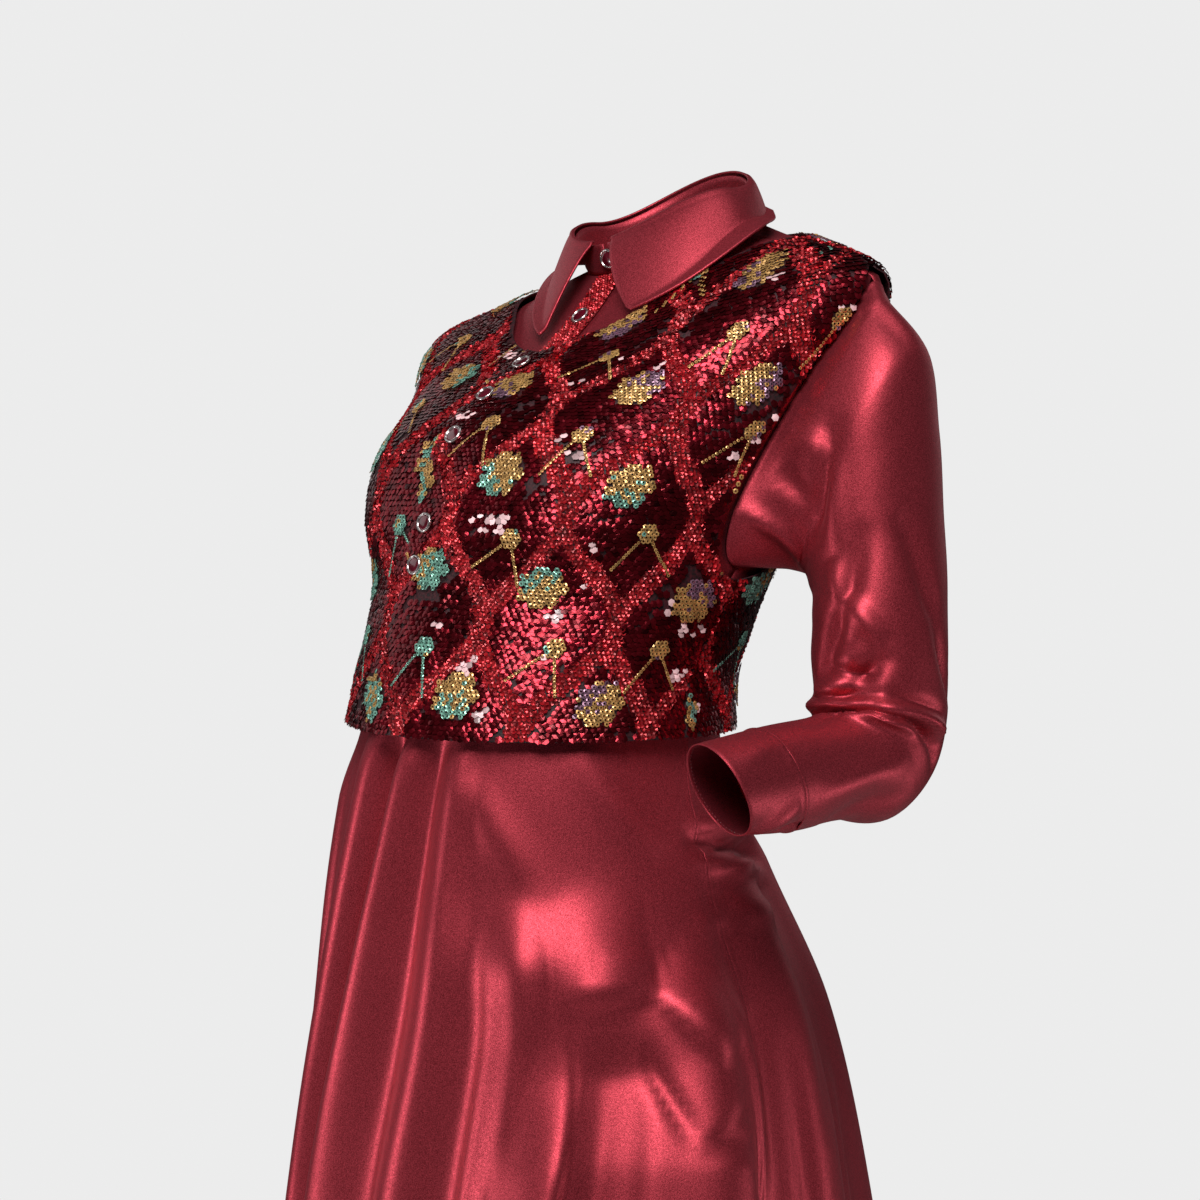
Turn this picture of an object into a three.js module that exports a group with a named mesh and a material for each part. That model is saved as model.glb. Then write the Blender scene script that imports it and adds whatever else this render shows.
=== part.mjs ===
// A long satin shirt dress worn under a short sequinned vest, both hollow as on a standing figure.
// Millimetres, +Z up. The wearer's left is +X and the front faces -Y. The origin is the middle of the
// neck opening at the height of the shoulder points, where the wearer holds the garment up.
import * as THREE from 'three';

// Cloth and seams
const SATIN = 1.6; // wall of the dress cloth with its turned seams
const COLLAR_CLOTH = 2; // two layers and interfacing
const SEQUINNED = 2.2; // mesh ground with its sequins
const SEAM_GAP = 0.3; // between two pieces that are sewn together
const LAP_GAP = 1.2; // between the two vest fronts where they lap

// Main sizes
const VEST_HEM_AT = -0.09; // on the torso's own scale, where the waist seam is 0 and the neck seam is 1
const COLLAR_STAND = { front: 22, side: 31, back: 35 };
const NECK_LEAN = new THREE.Vector3(-0.2, -0.25, 0.95).normalize();
const PLACKET_WIDTH = 24;
const PLACKET_DEPTH = 1.2;
const PLACKET_END_AT = 0.2;
const BUTTON = { radius: 7.5, height: 2.6, edge: 0.8, rim: 1.6, dish: 0.7 };

const radians = THREE.MathUtils.degToRad;

// Rows of a table, each with its values under the column names.
function table(columns, ...rows) {
  return rows.map((values) => Object.fromEntries(columns.map((column, k) => [column, values[k]])));
}

// Rings of the dress body from the waist seam (0) to the neck seam (1). side, front and back are the
// ring's heights there, width is half its breadth, ahead and behind its depths from the side points,
// skew sets the left side back and the right side forward, and roll lifts the left side, in mm per mm.
const TORSO = table(
  ['at', 'side', 'front', 'back', 'width', 'ahead', 'behind', 'x', 'y', 'skew', 'roll'],
  [-0.15, -372, -372, -372, 147, 152, 112, -27, -97, -9, 0],
  [0, -312, -312, -312, 137, 148, 107, -23, -91, -7, 0],
  [0.15, -275, -275, -275, 139, 154, 104, -20, -78, -3, 0],
  [0.33, -235, -232, -235, 147, 160, 95, -17, -62, 2, 0],
  [0.5, -192, -188, -190, 157, 168, 80, -13, -45, 10, 0.02],
  [0.62, -152, -141, -140, 166, 167, 72, -10, -30, 20, 0.05],
  [0.74, -100, -106, -88, 175, 147, 66, -7, -15, 30, 0.08],
  [0.86, -41, -78, -34, 184, 117, 56, -4, -4, 36, 0.11],
  [0.93, -16, -46, 2, 124, 86, 58, -2, 0, 22, 0.15],
  [1, 4, -14, 26, 64, 60, 58, 0, 0, 8, 0.17],
);
const BUST = { depth: 13, apart: 36, across: 24, at: 0.52, tall: 0.17 }; // shaped by darts

// Armholes, as ovals on the torso's scale: reach in degrees to the front and to the back of the side.
const DRESS_ARMHOLE = { middle: 0.6125, half: 0.2425, ahead: 13, behind: 29 };
const VEST_ARMHOLE = { middle: 0.605, half: 0.268, ahead: 16.5, behind: 34 };

// Rings of the skirt by depth down from the origin, as the torso's.
const SKIRT = [
  { at: 312, width: 137, ahead: 148, behind: 107, x: -23, y: -91, skew: -7 },
  { at: 350, width: 142, ahead: 148, behind: 112, x: -26, y: -96, skew: -8 },
  { at: 385, width: 148, ahead: 149, behind: 125, x: -27, y: -100, skew: -6 },
  { at: 455, width: 162, ahead: 160, behind: 146, x: -25, y: -96, skew: 0 },
  { at: 560, width: 192, ahead: 185, behind: 174, x: -20, y: -80, skew: 0 },
  { at: 709, width: 220, ahead: 203, behind: 202, x: -18, y: -76, skew: 0 },
  { at: 1350, width: 318, ahead: 292, behind: 296, x: -15, y: -66, skew: 0 },
];

// Folds of the skirt, each at its angle at 345 mm down, from the left side (0) back round to the right.
// The front is -90. mid, low and hem are its angles at 560, 709 and 1350 mm down, wide is its half-width,
// rise its height outwards (a trough is less than 0), and start the depth down where it begins.
const FOLDS = [
  { at: -227, mid: -225, low: -224, hem: -223, wide: 9, rise: -12, start: 400 },
  { at: -200, mid: -198, low: -196, hem: -196, wide: 9, rise: -12, start: 400 },
  { at: -176, mid: -176, low: -175, hem: -174, wide: 10, rise: 12, start: 390 },
  { at: -152, mid: -155, low: -156, hem: -156, wide: 10, rise: -12, start: 370 },
  { at: -126, mid: -133, low: -138, hem: -140, wide: 9, rise: 10, start: 350 },
  { at: -108, mid: -122, low: -130, hem: -133, wide: 6, rise: -6, start: 335 },
  { at: -98, mid: -114, low: -123, hem: -126, wide: 7, rise: 14, start: 318 },
  { at: -88, mid: -106, low: -116, hem: -118, wide: 5, rise: -19, start: 318 },
  { at: -79, mid: -98, low: -106, hem: -108, wide: 6, rise: 15, start: 318 },
  { at: -71, mid: -87, low: -95, hem: -98, wide: 6, rise: -13, start: 322 },
  { at: -63, mid: -76, low: -84, hem: -87, wide: 5, rise: 9, start: 325 },
  { at: -53, mid: -63, low: -69, hem: -72, wide: 6, rise: -6, start: 430 },
  { at: -44, mid: -52, low: -59, hem: -60, wide: 7, rise: 10, start: 450 },
  { at: -27, mid: -33, low: -38, hem: -40, wide: 14, rise: -14, start: 530 },
  { at: -10, mid: -14, low: -17, hem: -20, wide: 9, rise: 6, start: 500 },
  { at: 7, mid: 1, low: -5, hem: -7, wide: 5, rise: -4, start: 430 },
  { at: 22, mid: 18, low: 14, hem: 12, wide: 8, rise: 10, start: 430 },
  { at: 40, mid: 39, low: 37, hem: 36, wide: 9, rise: -10, start: 400 },
  { at: 61, mid: 61, low: 60, hem: 60, wide: 9, rise: 13, start: 400 },
  { at: 84, mid: 85, low: 84, hem: 84, wide: 9, rise: -12, start: 390 },
  { at: 108, mid: 109, low: 109, hem: 110, wide: 10, rise: 13, start: 400 },
  { at: 133, mid: 135, low: 136, hem: 137, wide: 9, rise: -12, start: 400 },
  { at: 160, mid: 162, low: 164, hem: 164, wide: 9, rise: -12, start: 400 },
  { at: 184, mid: 184, low: 185, hem: 186, wide: 10, rise: 12, start: 390 },
  { at: 208, mid: 205, low: 204, hem: 204, wide: 10, rise: -12, start: 370 },
];
const SIDE_SEAM = 7; // the left side seam's angle at 345 mm down
const FOLD_DEPTHS = [345, 560, 709, 1350];
const HIP = { angle: -48, down: 500, across: 34, tall: 62, out: 9 }; // cloth carried by the hip

// Sleeves, in rings. tilt turns each ring from the side (0) to level (90), bend turns it forwards at the
// elbow, yaw turns it about the upright, tall is half its size from the outer arm inwards, and deep from
// front to back. The right one is given as if it were a left one.
const LEFT_SLEEVE = [
  { at: 0, x: 168, y: 8, z: -126, tilt: 12, bend: 0, yaw: 18, tall: 98, deep: 44 },
  { at: 0.06, x: 179, y: 12, z: -136, tilt: 17, bend: 0, yaw: 18, tall: 97, deep: 48 },
  { at: 0.12, x: 189, y: 17, z: -152, tilt: 27, bend: 0, yaw: 18, tall: 92, deep: 51 },
  { at: 0.19, x: 194, y: 19, z: -183, tilt: 36, bend: 0, yaw: 18, tall: 74, deep: 53 },
  { at: 0.26, x: 199, y: 19, z: -218, tilt: 52, bend: 0, yaw: 18, tall: 55, deep: 53 },
  { at: 0.33, x: 205, y: 15, z: -254, tilt: 76, bend: 0, yaw: 18, tall: 47, deep: 52 },
  { at: 0.41, x: 209, y: 11, z: -290, tilt: 90, bend: 0, yaw: 18, tall: 47, deep: 50 },
  { at: 0.48, x: 212, y: 10, z: -320, tilt: 90, bend: 0, yaw: 17, tall: 46, deep: 49 },
  { at: 0.56, x: 213, y: 2, z: -349, tilt: 90, bend: 30, yaw: 14, tall: 44, deep: 51 },
  { at: 0.63, x: 216, y: -20, z: -364, tilt: 90, bend: 58, yaw: 9, tall: 41, deep: 47 },
  { at: 0.7, x: 219, y: -46, z: -363, tilt: 90, bend: 80, yaw: 5, tall: 38, deep: 37 },
  { at: 0.85, x: 227, y: -105, z: -366, tilt: 90, bend: 74, yaw: -3, tall: 36, deep: 37 },
  { at: 1, x: 235, y: -166, z: -368, tilt: 90, bend: 66, yaw: -10, tall: 33, deep: 34 },
];
const RIGHT_SLEEVE = [
  { at: 0, x: 184, y: -46, z: -148, tilt: 4, bend: 0, yaw: 0, tall: 84, deep: 36 },
  { at: 0.07, x: 195, y: -46, z: -152, tilt: 6, bend: 0, yaw: 0, tall: 80, deep: 38 },
  { at: 0.14, x: 204, y: -48, z: -166, tilt: 12, bend: 0, yaw: 0, tall: 73, deep: 45 },
  { at: 0.22, x: 210, y: -48, z: -196, tilt: 24, bend: 0, yaw: 0, tall: 58, deep: 49 },
  { at: 0.3, x: 213, y: -46, z: -236, tilt: 46, bend: 0, yaw: 0, tall: 43, deep: 49 },
  { at: 0.38, x: 217, y: -44, z: -278, tilt: 78, bend: 0, yaw: 2, tall: 42, deep: 48 },
  { at: 0.5, x: 223, y: -43, z: -330, tilt: 84, bend: 0, yaw: 4, tall: 42, deep: 46 },
  { at: 0.65, x: 232, y: -42, z: -395, tilt: 83, bend: 6, yaw: 8, tall: 40, deep: 43 },
  { at: 0.82, x: 244, y: -45, z: -470, tilt: 80, bend: 12, yaw: 11, tall: 37, deep: 38 },
  { at: 1, x: 259, y: -53, z: -556, tilt: 80, bend: 14, yaw: 12, tall: 33, deep: 33 },
];
const LEFT_CUFF_AT = 0.87; // cuffs are about 48 mm deep
const RIGHT_CUFF_AT = 0.9;

// Turned-down collar: where its lower edge lies from the fold, outwards and down, by angle.
const LEAF = [
  { at: -90, out: 38, drop: 66 },
  { at: -58, out: 41, drop: 66 },
  { at: -30, out: 44, drop: 60 },
  { at: -6, out: 40, drop: 50 },
  { at: 16, out: 25, drop: 43 },
  { at: 40, out: 15, drop: 40 },
  { at: 90, out: 15, drop: 36 },
  { at: 150, out: 17, drop: 41 },
  { at: 187, out: 15, drop: 46 },
  { at: 213, out: 18, drop: 54 },
  { at: 238, out: 30, drop: 66 },
  { at: 262, out: 46, drop: 72 },
];
// Degrees from the middle front to the leaf's front edges, at the fold and at its two points.
const LEAF_FRONT = { fold: 8, left: 33, right: 7 };
const LEAF_FOLD = 2.5; // how far the fold stands over the stand
const LEAF_FOLD_SHARE = 0.06;
const LEAF_CLEAR = 12; // its outer face stands this high over the dress body, and so over the vest's edge
const REST_FROM_AT = 0.8;
const STAND_OPENING = 2; // degrees, half of the gap where the stand's ends meet

// Vest neckline on the torso's scale, by degrees from the middle front.
const VEST_NECKLINE = [
  { at: 0, edge: 0.855 },
  { at: 14, edge: 0.885 },
  { at: 34, edge: 0.92 },
  { at: 62, edge: 0.938 },
  { at: 90, edge: 0.944 },
  { at: 180, edge: 0.95 },
];
const VEST_EASE = [
  { at: -0.15, ease: 13 },
  { at: 0, ease: 11 },
  { at: 0.25, ease: 7 },
  { at: 0.5, ease: 5.6 },
  { at: 1, ease: 5.4 },
];
const VEST_ROWS = [0, 0.1, 0.2, 0.31, 0.42, 0.53, 0.63, 0.72, 0.79, 0.84, 0.875, 0.905, 0.935, 0.967, 1];
const VEST_LAP_ANGLE = 5; // degrees, half of the overlap of the two vest fronts
// Heights on the torso's scale, and how far the panel's flat faces lie inside its curve there.
const VEST_BUTTONS = [
  { at: 0.815, sink: 0.64 },
  { at: 0.72, sink: 0.74 },
  { at: 0.63, sink: 1.82 },
  { at: 0.47, sink: 1.01 },
  { at: 0.35, sink: 0.46 },
];
const PLACKET_TOP_AT = 0.995;
const PLACKET_BUTTON = { at: 0.925, sink: 0.32 };
const COLLAR_BUTTON = { at: 0.5, sink: 0.74 };
const BUTTON_SEAT = 0.7; // clears the curve of the cloth under a flat button

const FRONT = -90;

// A smooth value of one column, at a place between the rows of a table.
function along(rows, column, at) {
  let next = 1;
  while (next < rows.length - 1 && rows[next].at < at) next += 1;
  const a = rows[next - 1];
  const b = rows[next];
  const before = rows[Math.max(next - 2, 0)];
  const after = rows[Math.min(next + 1, rows.length - 1)];
  const span = b.at - a.at;
  const s = THREE.MathUtils.clamp((at - a.at) / span, 0, 1);
  const slopeA = ((b[column] - before[column]) / (b.at - before.at)) * span;
  const slopeB = ((after[column] - a[column]) / (after.at - a.at)) * span;
  const rest = 1 - s;
  return a[column] * rest * rest * (1 + 2 * s) + b[column] * s * s * (3 - 2 * s)
    + slopeA * s * rest * rest - slopeB * s * s * rest;
}

function ramp(from, to, value) {
  return THREE.MathUtils.smoothstep((value - from) / (to - from), 0, 1);
}

// 1 on a line and 0 beyond its reach, with soft sides.
function bump(distance, reach) {
  const share = Math.min(Math.abs(distance) / reach, 1);
  return 0.5 + 0.5 * Math.cos(share * Math.PI);
}

function apart(angleA, angleB) {
  return THREE.MathUtils.euclideanModulo(angleA - angleB + 180, 360) - 180;
}

// One point of an oval ring with its own depths to the front and to the back.
function ringPoint(row, angle) {
  const c = Math.cos(radians(angle));
  const s = Math.sin(radians(angle));
  const depth = s < 0 ? row.ahead : row.behind;
  return new THREE.Vector3(row.x + row.width * c, row.y + depth * s + row.skew * c, 0);
}

function rowAt(rows, at) {
  const row = {};
  for (const column of Object.keys(rows[0])) row[column] = along(rows, column, at);
  return row;
}

// The dress body's outer face.
function torso(angle, at) {
  const row = rowAt(TORSO, at);
  const point = ringPoint(row, angle);
  const s = Math.sin(radians(angle));
  const edge = s < 0 ? row.front : row.back;
  point.z = row.side + (edge - row.side) * s * s + row.roll * (point.x - row.x);
  for (const side of [-1, 1]) {
    const out = BUST.depth * bump(apart(angle, FRONT + side * BUST.apart), BUST.across * 1.6)
      * bump(at - BUST.at, BUST.tall * 1.6);
    point.x += out * Math.cos(radians(FRONT + side * BUST.apart));
    point.y += out * Math.sin(radians(FRONT + side * BUST.apart));
  }
  return point;
}

// The skirt's outer face. A strand is a thread line of the cloth, named by its angle at 345 mm down.
function skirt(strand, down) {
  const path = ['at', 'mid', 'low', 'hem'].map((column, k) => (
    { at: FOLD_DEPTHS[k], angle: column === 'at' ? strand : along(FOLDS, column, strand) }
  ));
  const angle = along(path, 'angle', Math.max(down, FOLD_DEPTHS[0]));
  const point = ringPoint(rowAt(SKIRT, down), angle);
  let out = 0;
  for (const fold of FOLDS) {
    const grown = ramp(fold.start, fold.start + 55, down) * (0.65 + 0.35 * ramp(345, 620, down))
      * (1 + 0.6 * ramp(709, 1350, down));
    out += fold.rise * grown * bump(strand - fold.at, fold.wide * 1.6);
  }
  out += HIP.out * bump(angle - HIP.angle, HIP.across) * bump(down - HIP.down, HIP.tall);
  point.x += out * Math.cos(radians(angle));
  point.y += out * Math.sin(radians(angle));
  point.z = -down;
  return point;
}

// The outward direction square to a face.
function squareOut(surface, a, b, stepA, stepB, turn) {
  const alongA = surface(a + stepA, b).sub(surface(a - stepA, b));
  const alongB = surface(a, b + stepB).sub(surface(a, b - stepB));
  return alongA.cross(alongB).normalize().multiplyScalar(turn);
}

function movedOut(surface, lift, stepA, stepB, turn) {
  return (a, b) => surface(a, b).addScaledVector(squareOut(surface, a, b, stepA, stepB, turn), lift(a, b));
}

// A closed wall of cloth: a grid of outer points, the same grid set in by the cloth's thickness, and rims.
function wall(name, colour, shape) {
  const { surface, place, across, down, thick, steps, round = false, turn = 1, seamOut } = shape;
  const outer = [];
  const inner = [];
  const columns = round ? across : across + 1;
  for (let j = 0; j <= down; j += 1) {
    for (let i = 0; i < columns; i += 1) {
      const [a, b] = place(i / across, j / down);
      const point = surface(a, b);
      outer.push(point);
      const out = squareOut(surface, a, b, steps[0], steps[1], turn);
      const set = j === 0 && seamOut ? seamOut(a, out) : out;
      inner.push(point.clone().addScaledVector(set, -thick));
    }
  }
  const count = outer.length;
  const faces = [];
  const quad = (p, q, r, s) => faces.push(p, q, r, p, r, s);
  const at = (i, j) => j * columns + (i % columns);
  for (let j = 0; j < down; j += 1) {
    for (let i = 0; i < across; i += 1) {
      quad(at(i, j), at(i + 1, j), at(i + 1, j + 1), at(i, j + 1));
      quad(count + at(i, j), count + at(i, j + 1), count + at(i + 1, j + 1), count + at(i + 1, j));
    }
    if (!round) {
      quad(at(0, j), at(0, j + 1), count + at(0, j + 1), count + at(0, j));
      quad(at(across, j), count + at(across, j), count + at(across, j + 1), at(across, j + 1));
    }
  }
  for (let i = 0; i < across; i += 1) {
    quad(at(i, 0), count + at(i, 0), count + at(i + 1, 0), at(i + 1, 0));
    quad(at(i, down), at(i + 1, down), count + at(i + 1, down), count + at(i, down));
  }
  return solid(name, colour, [...outer, ...inner], faces);
}

// A named mesh, with its faces turned outwards.
function solid(name, colour, points, faces) {
  let volume = 0;
  for (let k = 0; k < faces.length; k += 3) {
    const [p, q, r] = [points[faces[k]], points[faces[k + 1]], points[faces[k + 2]]];
    volume += p.dot(q.clone().cross(r));
  }
  const turned = [];
  for (let k = 0; k < faces.length; k += 3) {
    if (volume > 0) turned.push(faces[k], faces[k + 1], faces[k + 2]);
    else turned.push(faces[k], faces[k + 2], faces[k + 1]);
  }
  const geometry = new THREE.BufferGeometry();
  geometry.setAttribute('position', new THREE.Float32BufferAttribute(points.flatMap((p) => p.toArray()), 3));
  geometry.setIndex(turned);
  geometry.computeVertexNormals();
  const mesh = new THREE.Mesh(geometry, colour);
  mesh.name = name;
  return mesh;
}

const satin = new THREE.MeshStandardMaterial({ color: 0x8e1f35, roughness: 0.35, metalness: 0.1 });
const beaded = new THREE.MeshStandardMaterial({ color: 0xb01c24, roughness: 0.4, metalness: 0.2 });
const sequinned = new THREE.MeshStandardMaterial({ color: 0x6a1420, roughness: 0.3, metalness: 0.4 });
const buttonShell = new THREE.MeshStandardMaterial({ color: 0x5a1420, roughness: 0.25, metalness: 0.5 });

const TORSO_STEPS = [0.5, 0.004];
const SKIRT_STEPS = [0.5, 2];
const COLLAR_STEPS = [0.5, 0.02];
const SKIRT_ROWS = [312.3, 328, 345, 370, 400, 440, 490, 540, 590, 645, 709, 850, 1080, 1350];
const STRAND_STEP = 5; // degrees between the skirt's columns

// How far an armhole's edge lies from the side line, in degrees.
function armholeEdge(hole, reach, at) {
  const height = (at - hole.middle) / hole.half;
  return Math.abs(height) < 1 ? reach * Math.sqrt(1 - height * height) : 0;
}

// Degrees that a seam gap takes at the side of the body.
function gapAngle(row) {
  return THREE.MathUtils.radToDeg(SEAM_GAP / 2 / row.ahead);
}

// Rows of the dress body: even below and above the armhole, and spaced as the sleeve's ring along it.
const FRONT_COLUMNS = 18;
const SLEEVE_SIDES = 16;
const SLEEVE_BLEND = 0.12; // share of the sleeve over which it takes its own round from the armhole
const SLEEVE_START = 0.003;
const CUFF_GAP = 0.0006;
const ARMHOLE_GAP = { angle: 0.16, at: 0.0006 }; // about 0.4 mm
const SLEEVE_STEPS = [1, 0.002];
function bodiceRows() {
  const rows = [0, 0.11, 0.21, 0.3];
  for (let k = SLEEVE_SIDES / 2; k >= 0; k -= 1) {
    rows.push(DRESS_ARMHOLE.middle + DRESS_ARMHOLE.half * Math.cos((k * 2 * Math.PI) / SLEEVE_SIDES));
  }
  return [...rows, 0.9, 0.94, 1];
}

function bodicePanels() {
  const rows = bodiceRows();
  const panel = (name, middle, reach, across) => wall(name, satin, {
    surface: torso,
    place: (u, v) => {
      const at = rows[Math.round(v * (rows.length - 1))];
      const half = 90 - gapAngle(rowAt(TORSO, at)) - armholeEdge(DRESS_ARMHOLE, reach, at);
      return [middle + half * (2 * u - 1), at];
    },
    across,
    down: rows.length - 1,
    thick: SATIN,
    steps: TORSO_STEPS,
  });
  return [
    panel('bodice_front', FRONT, DRESS_ARMHOLE.ahead, FRONT_COLUMNS),
    panel('bodice_back', -FRONT, DRESS_ARMHOLE.behind, 14),
  ];
}

// Strands that a panel's columns follow: each fold, and even steps between them.
function strands(from, to) {
  const marks = [from, ...FOLDS.map((fold) => fold.at).filter((at) => at > from + 1 && at < to - 1), to];
  const columns = [];
  for (let k = 1; k < marks.length; k += 1) {
    const span = marks[k] - marks[k - 1];
    const steps = Math.max(2, Math.round(span / STRAND_STEP));
    for (let i = 0; i < steps; i += 1) columns.push(marks[k - 1] + (span * i) / steps);
  }
  return [...columns, to];
}

function skirtPanels() {
  const panel = (name, from, to) => {
    const columns = strands(from, to);
    return wall(name, satin, {
      surface: skirt,
      place: (u, v) => {
        const depth = SKIRT_ROWS[Math.round(v * (SKIRT_ROWS.length - 1))];
        const gap = gapAngle(rowAt(SKIRT, depth)) * (1 - 2 * u);
        return [columns[Math.round(u * (columns.length - 1))] + gap, depth];
      },
      across: columns.length - 1,
      down: SKIRT_ROWS.length - 1,
      thick: SATIN,
      steps: SKIRT_STEPS,
    });
  };
  return [
    panel('skirt_front', -180 - SIDE_SEAM, SIDE_SEAM),
    panel('skirt_back', SIDE_SEAM, 180 - SIDE_SEAM),
  ];
}

// A sleeve's outer face, by the angle round it and the place along it. side is 1 for the wearer's left.
function sleeveSurface(rows, side) {
  const upward = new THREE.Vector3(0, 0, 1);
  return (turn, at) => {
    const row = rowAt(rows, Math.max(at, SLEEVE_BLEND / 2));
    const [yaw, tilt, bend] = [radians(row.yaw), radians(row.tilt), radians(row.bend)];
    const lateral = new THREE.Vector3(Math.cos(yaw) * side, Math.sin(yaw), 0);
    const backward = new THREE.Vector3(-Math.sin(yaw) * side, Math.cos(yaw), 0);
    const outerAxis = lateral.multiplyScalar(Math.sin(tilt)).addScaledVector(upward, Math.cos(tilt));
    const backAxis = backward.multiplyScalar(Math.cos(bend)).addScaledVector(upward, -Math.sin(bend));
    const c = Math.cos(radians(turn));
    const s = Math.sin(radians(turn));
    const ring = new THREE.Vector3(row.x * side, row.y, row.z);
    ring.addScaledVector(outerAxis, row.tall * c).addScaledVector(backAxis, row.deep * s);
    if (at >= SLEEVE_BLEND) return ring;
    const share = (1 - at / SLEEVE_BLEND) ** 1.5;
    return ring.lerp(torso(...armholePlace(turn, side)), share);
  };
}

// A place on the armhole seam, on the torso's scales, just inside the hole.
function armholePlace(turn, side) {
  const c = Math.cos(radians(turn));
  const s = Math.sin(radians(turn));
  const reach = (s < 0 ? DRESS_ARMHOLE.ahead : DRESS_ARMHOLE.behind) - ARMHOLE_GAP.angle;
  const angle = reach * s;
  return [side > 0 ? angle : 180 - angle, DRESS_ARMHOLE.middle + (DRESS_ARMHOLE.half - ARMHOLE_GAP.at) * c];
}

function sleeve(name, side, rows, cuffAt, down) {
  const surface = sleeveSurface(rows, side);
  // Where the sleeve turns down over the shoulder its seam edge is square to the dress body's face.
  const seamOut = (turn, own) => {
    const body = squareOut(torso, ...armholePlace(turn, side), ...TORSO_STEPS, 1);
    const heading = surface(turn, SLEEVE_BLEND / 2).sub(surface(turn, SLEEVE_START));
    return heading.dot(body) < 0 ? body : own;
  };
  const part = (label, from, to, steps) => wall(label, satin, {
    surface,
    place: (u, v) => [360 * u, from + (to - from) * v],
    across: SLEEVE_SIDES,
    down: steps,
    thick: SATIN,
    round: true,
    steps: SLEEVE_STEPS,
    turn: side,
    seamOut: from === SLEEVE_START ? seamOut : undefined,
  });
  return [
    part(`sleeve_${name}`, SLEEVE_START, cuffAt - CUFF_GAP, down),
    part(`cuff_${name}`, cuffAt + CUFF_GAP, 1, 2),
  ];
}

// The neck seam, and the upper edge of the collar stand above it.
function standHeight(angle) {
  const s = Math.sin(radians(angle));
  const edge = s < 0 ? COLLAR_STAND.front : COLLAR_STAND.back;
  return COLLAR_STAND.side + (edge - COLLAR_STAND.side) * s * s;
}

function stand(angle, share) {
  return torso(angle, 1).addScaledVector(NECK_LEAN, 2 * SEAM_GAP + standHeight(angle) * share);
}

// Lifts a point that would sink into the shoulders, where the torso's rings close in on the neck.
function restedOnShoulders(point, clear) {
  let [low, high] = [REST_FROM_AT, 1];
  let angle = 0;
  for (let k = 0; k < 14; k += 1) {
    const row = rowAt(TORSO, (low + high) / 2);
    const c = (point.x - row.x) / row.width;
    const y = point.y - row.y - row.skew * c;
    const s = y / (y < 0 ? row.ahead : row.behind);
    angle = THREE.MathUtils.radToDeg(Math.atan2(s, c));
    if (c * c + s * s > 1) high = (low + high) / 2;
    else low = (low + high) / 2;
  }
  point.z = Math.max(point.z, torso(angle, low).z + clear);
  return point;
}

// The turned-down collar's outer face, from its fold over the stand to its lower edge.
function leaf(angle, share) {
  const unwound = THREE.MathUtils.clamp(angle, LEAF[0].at, LEAF[LEAF.length - 1].at);
  const away = new THREE.Vector3(Math.cos(radians(angle)), Math.sin(radians(angle)), 0);
  const over = Math.min(share / LEAF_FOLD_SHARE, 1);
  const fall = Math.max((share - LEAF_FOLD_SHARE) / (1 - LEAF_FOLD_SHARE), 0);
  const point = stand(angle, 1);
  point.addScaledVector(NECK_LEAN, LEAF_FOLD * (0.9 - 1.1 * over * over));
  point.addScaledVector(away, LEAF_FOLD * (0.2 + 1.2 * Math.sin((over * Math.PI) / 2)));
  point.addScaledVector(away, along(LEAF, 'out', unwound) * fall ** 0.8);
  point.z -= along(LEAF, 'drop', unwound) * fall;
  return fall > 0.3 ? restedOnShoulders(point, LEAF_CLEAR) : point;
}

function collar() {
  const standSpan = 360 - 2 * STAND_OPENING;
  const from = FRONT + STAND_OPENING;
  return [
    wall('collar_stand', satin, {
      surface: stand,
      place: (u, v) => [from + standSpan * u, v],
      across: 32,
      down: 2,
      thick: COLLAR_CLOTH,
      steps: COLLAR_STEPS,
    }),
    wall('collar_leaf', satin, {
      surface: leaf,
      place: (u, v) => {
        const left = THREE.MathUtils.lerp(LEAF_FRONT.fold, LEAF_FRONT.left, v);
        const right = THREE.MathUtils.lerp(LEAF_FRONT.fold, LEAF_FRONT.right, v);
        return [FRONT + left + (360 - left - right) * u, v < 0.2 ? v * LEAF_FOLD_SHARE / 0.2 : v];
      },
      across: 36,
      down: 5,
      thick: COLLAR_CLOTH,
      steps: COLLAR_STEPS,
    }),
  ];
}

// The vest lies over the dress body, further out towards its hem.
function vestFace(angle, at) {
  const lift = along(VEST_EASE, 'ease', at);
  const over = SEQUINNED + LAP_GAP;
  const frontLift = over * ramp(VEST_LAP_ANGLE * 3.6, VEST_LAP_ANGLE * 2, Math.abs(apart(angle, FRONT)));
  const point = torso(angle, at);
  return point.addScaledVector(squareOut(torso, angle, at, ...TORSO_STEPS, 1), lift + frontLift);
}

function vestUnder(angle, at) {
  const lift = along(VEST_EASE, 'ease', at);
  return torso(angle, at).addScaledVector(squareOut(torso, angle, at, ...TORSO_STEPS, 1), lift);
}

// The vest's upper edge: its neckline, by the angle from the middle front.
function vestTop(angle) {
  return along(VEST_NECKLINE, 'edge', Math.abs(apart(angle, FRONT)));
}

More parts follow.
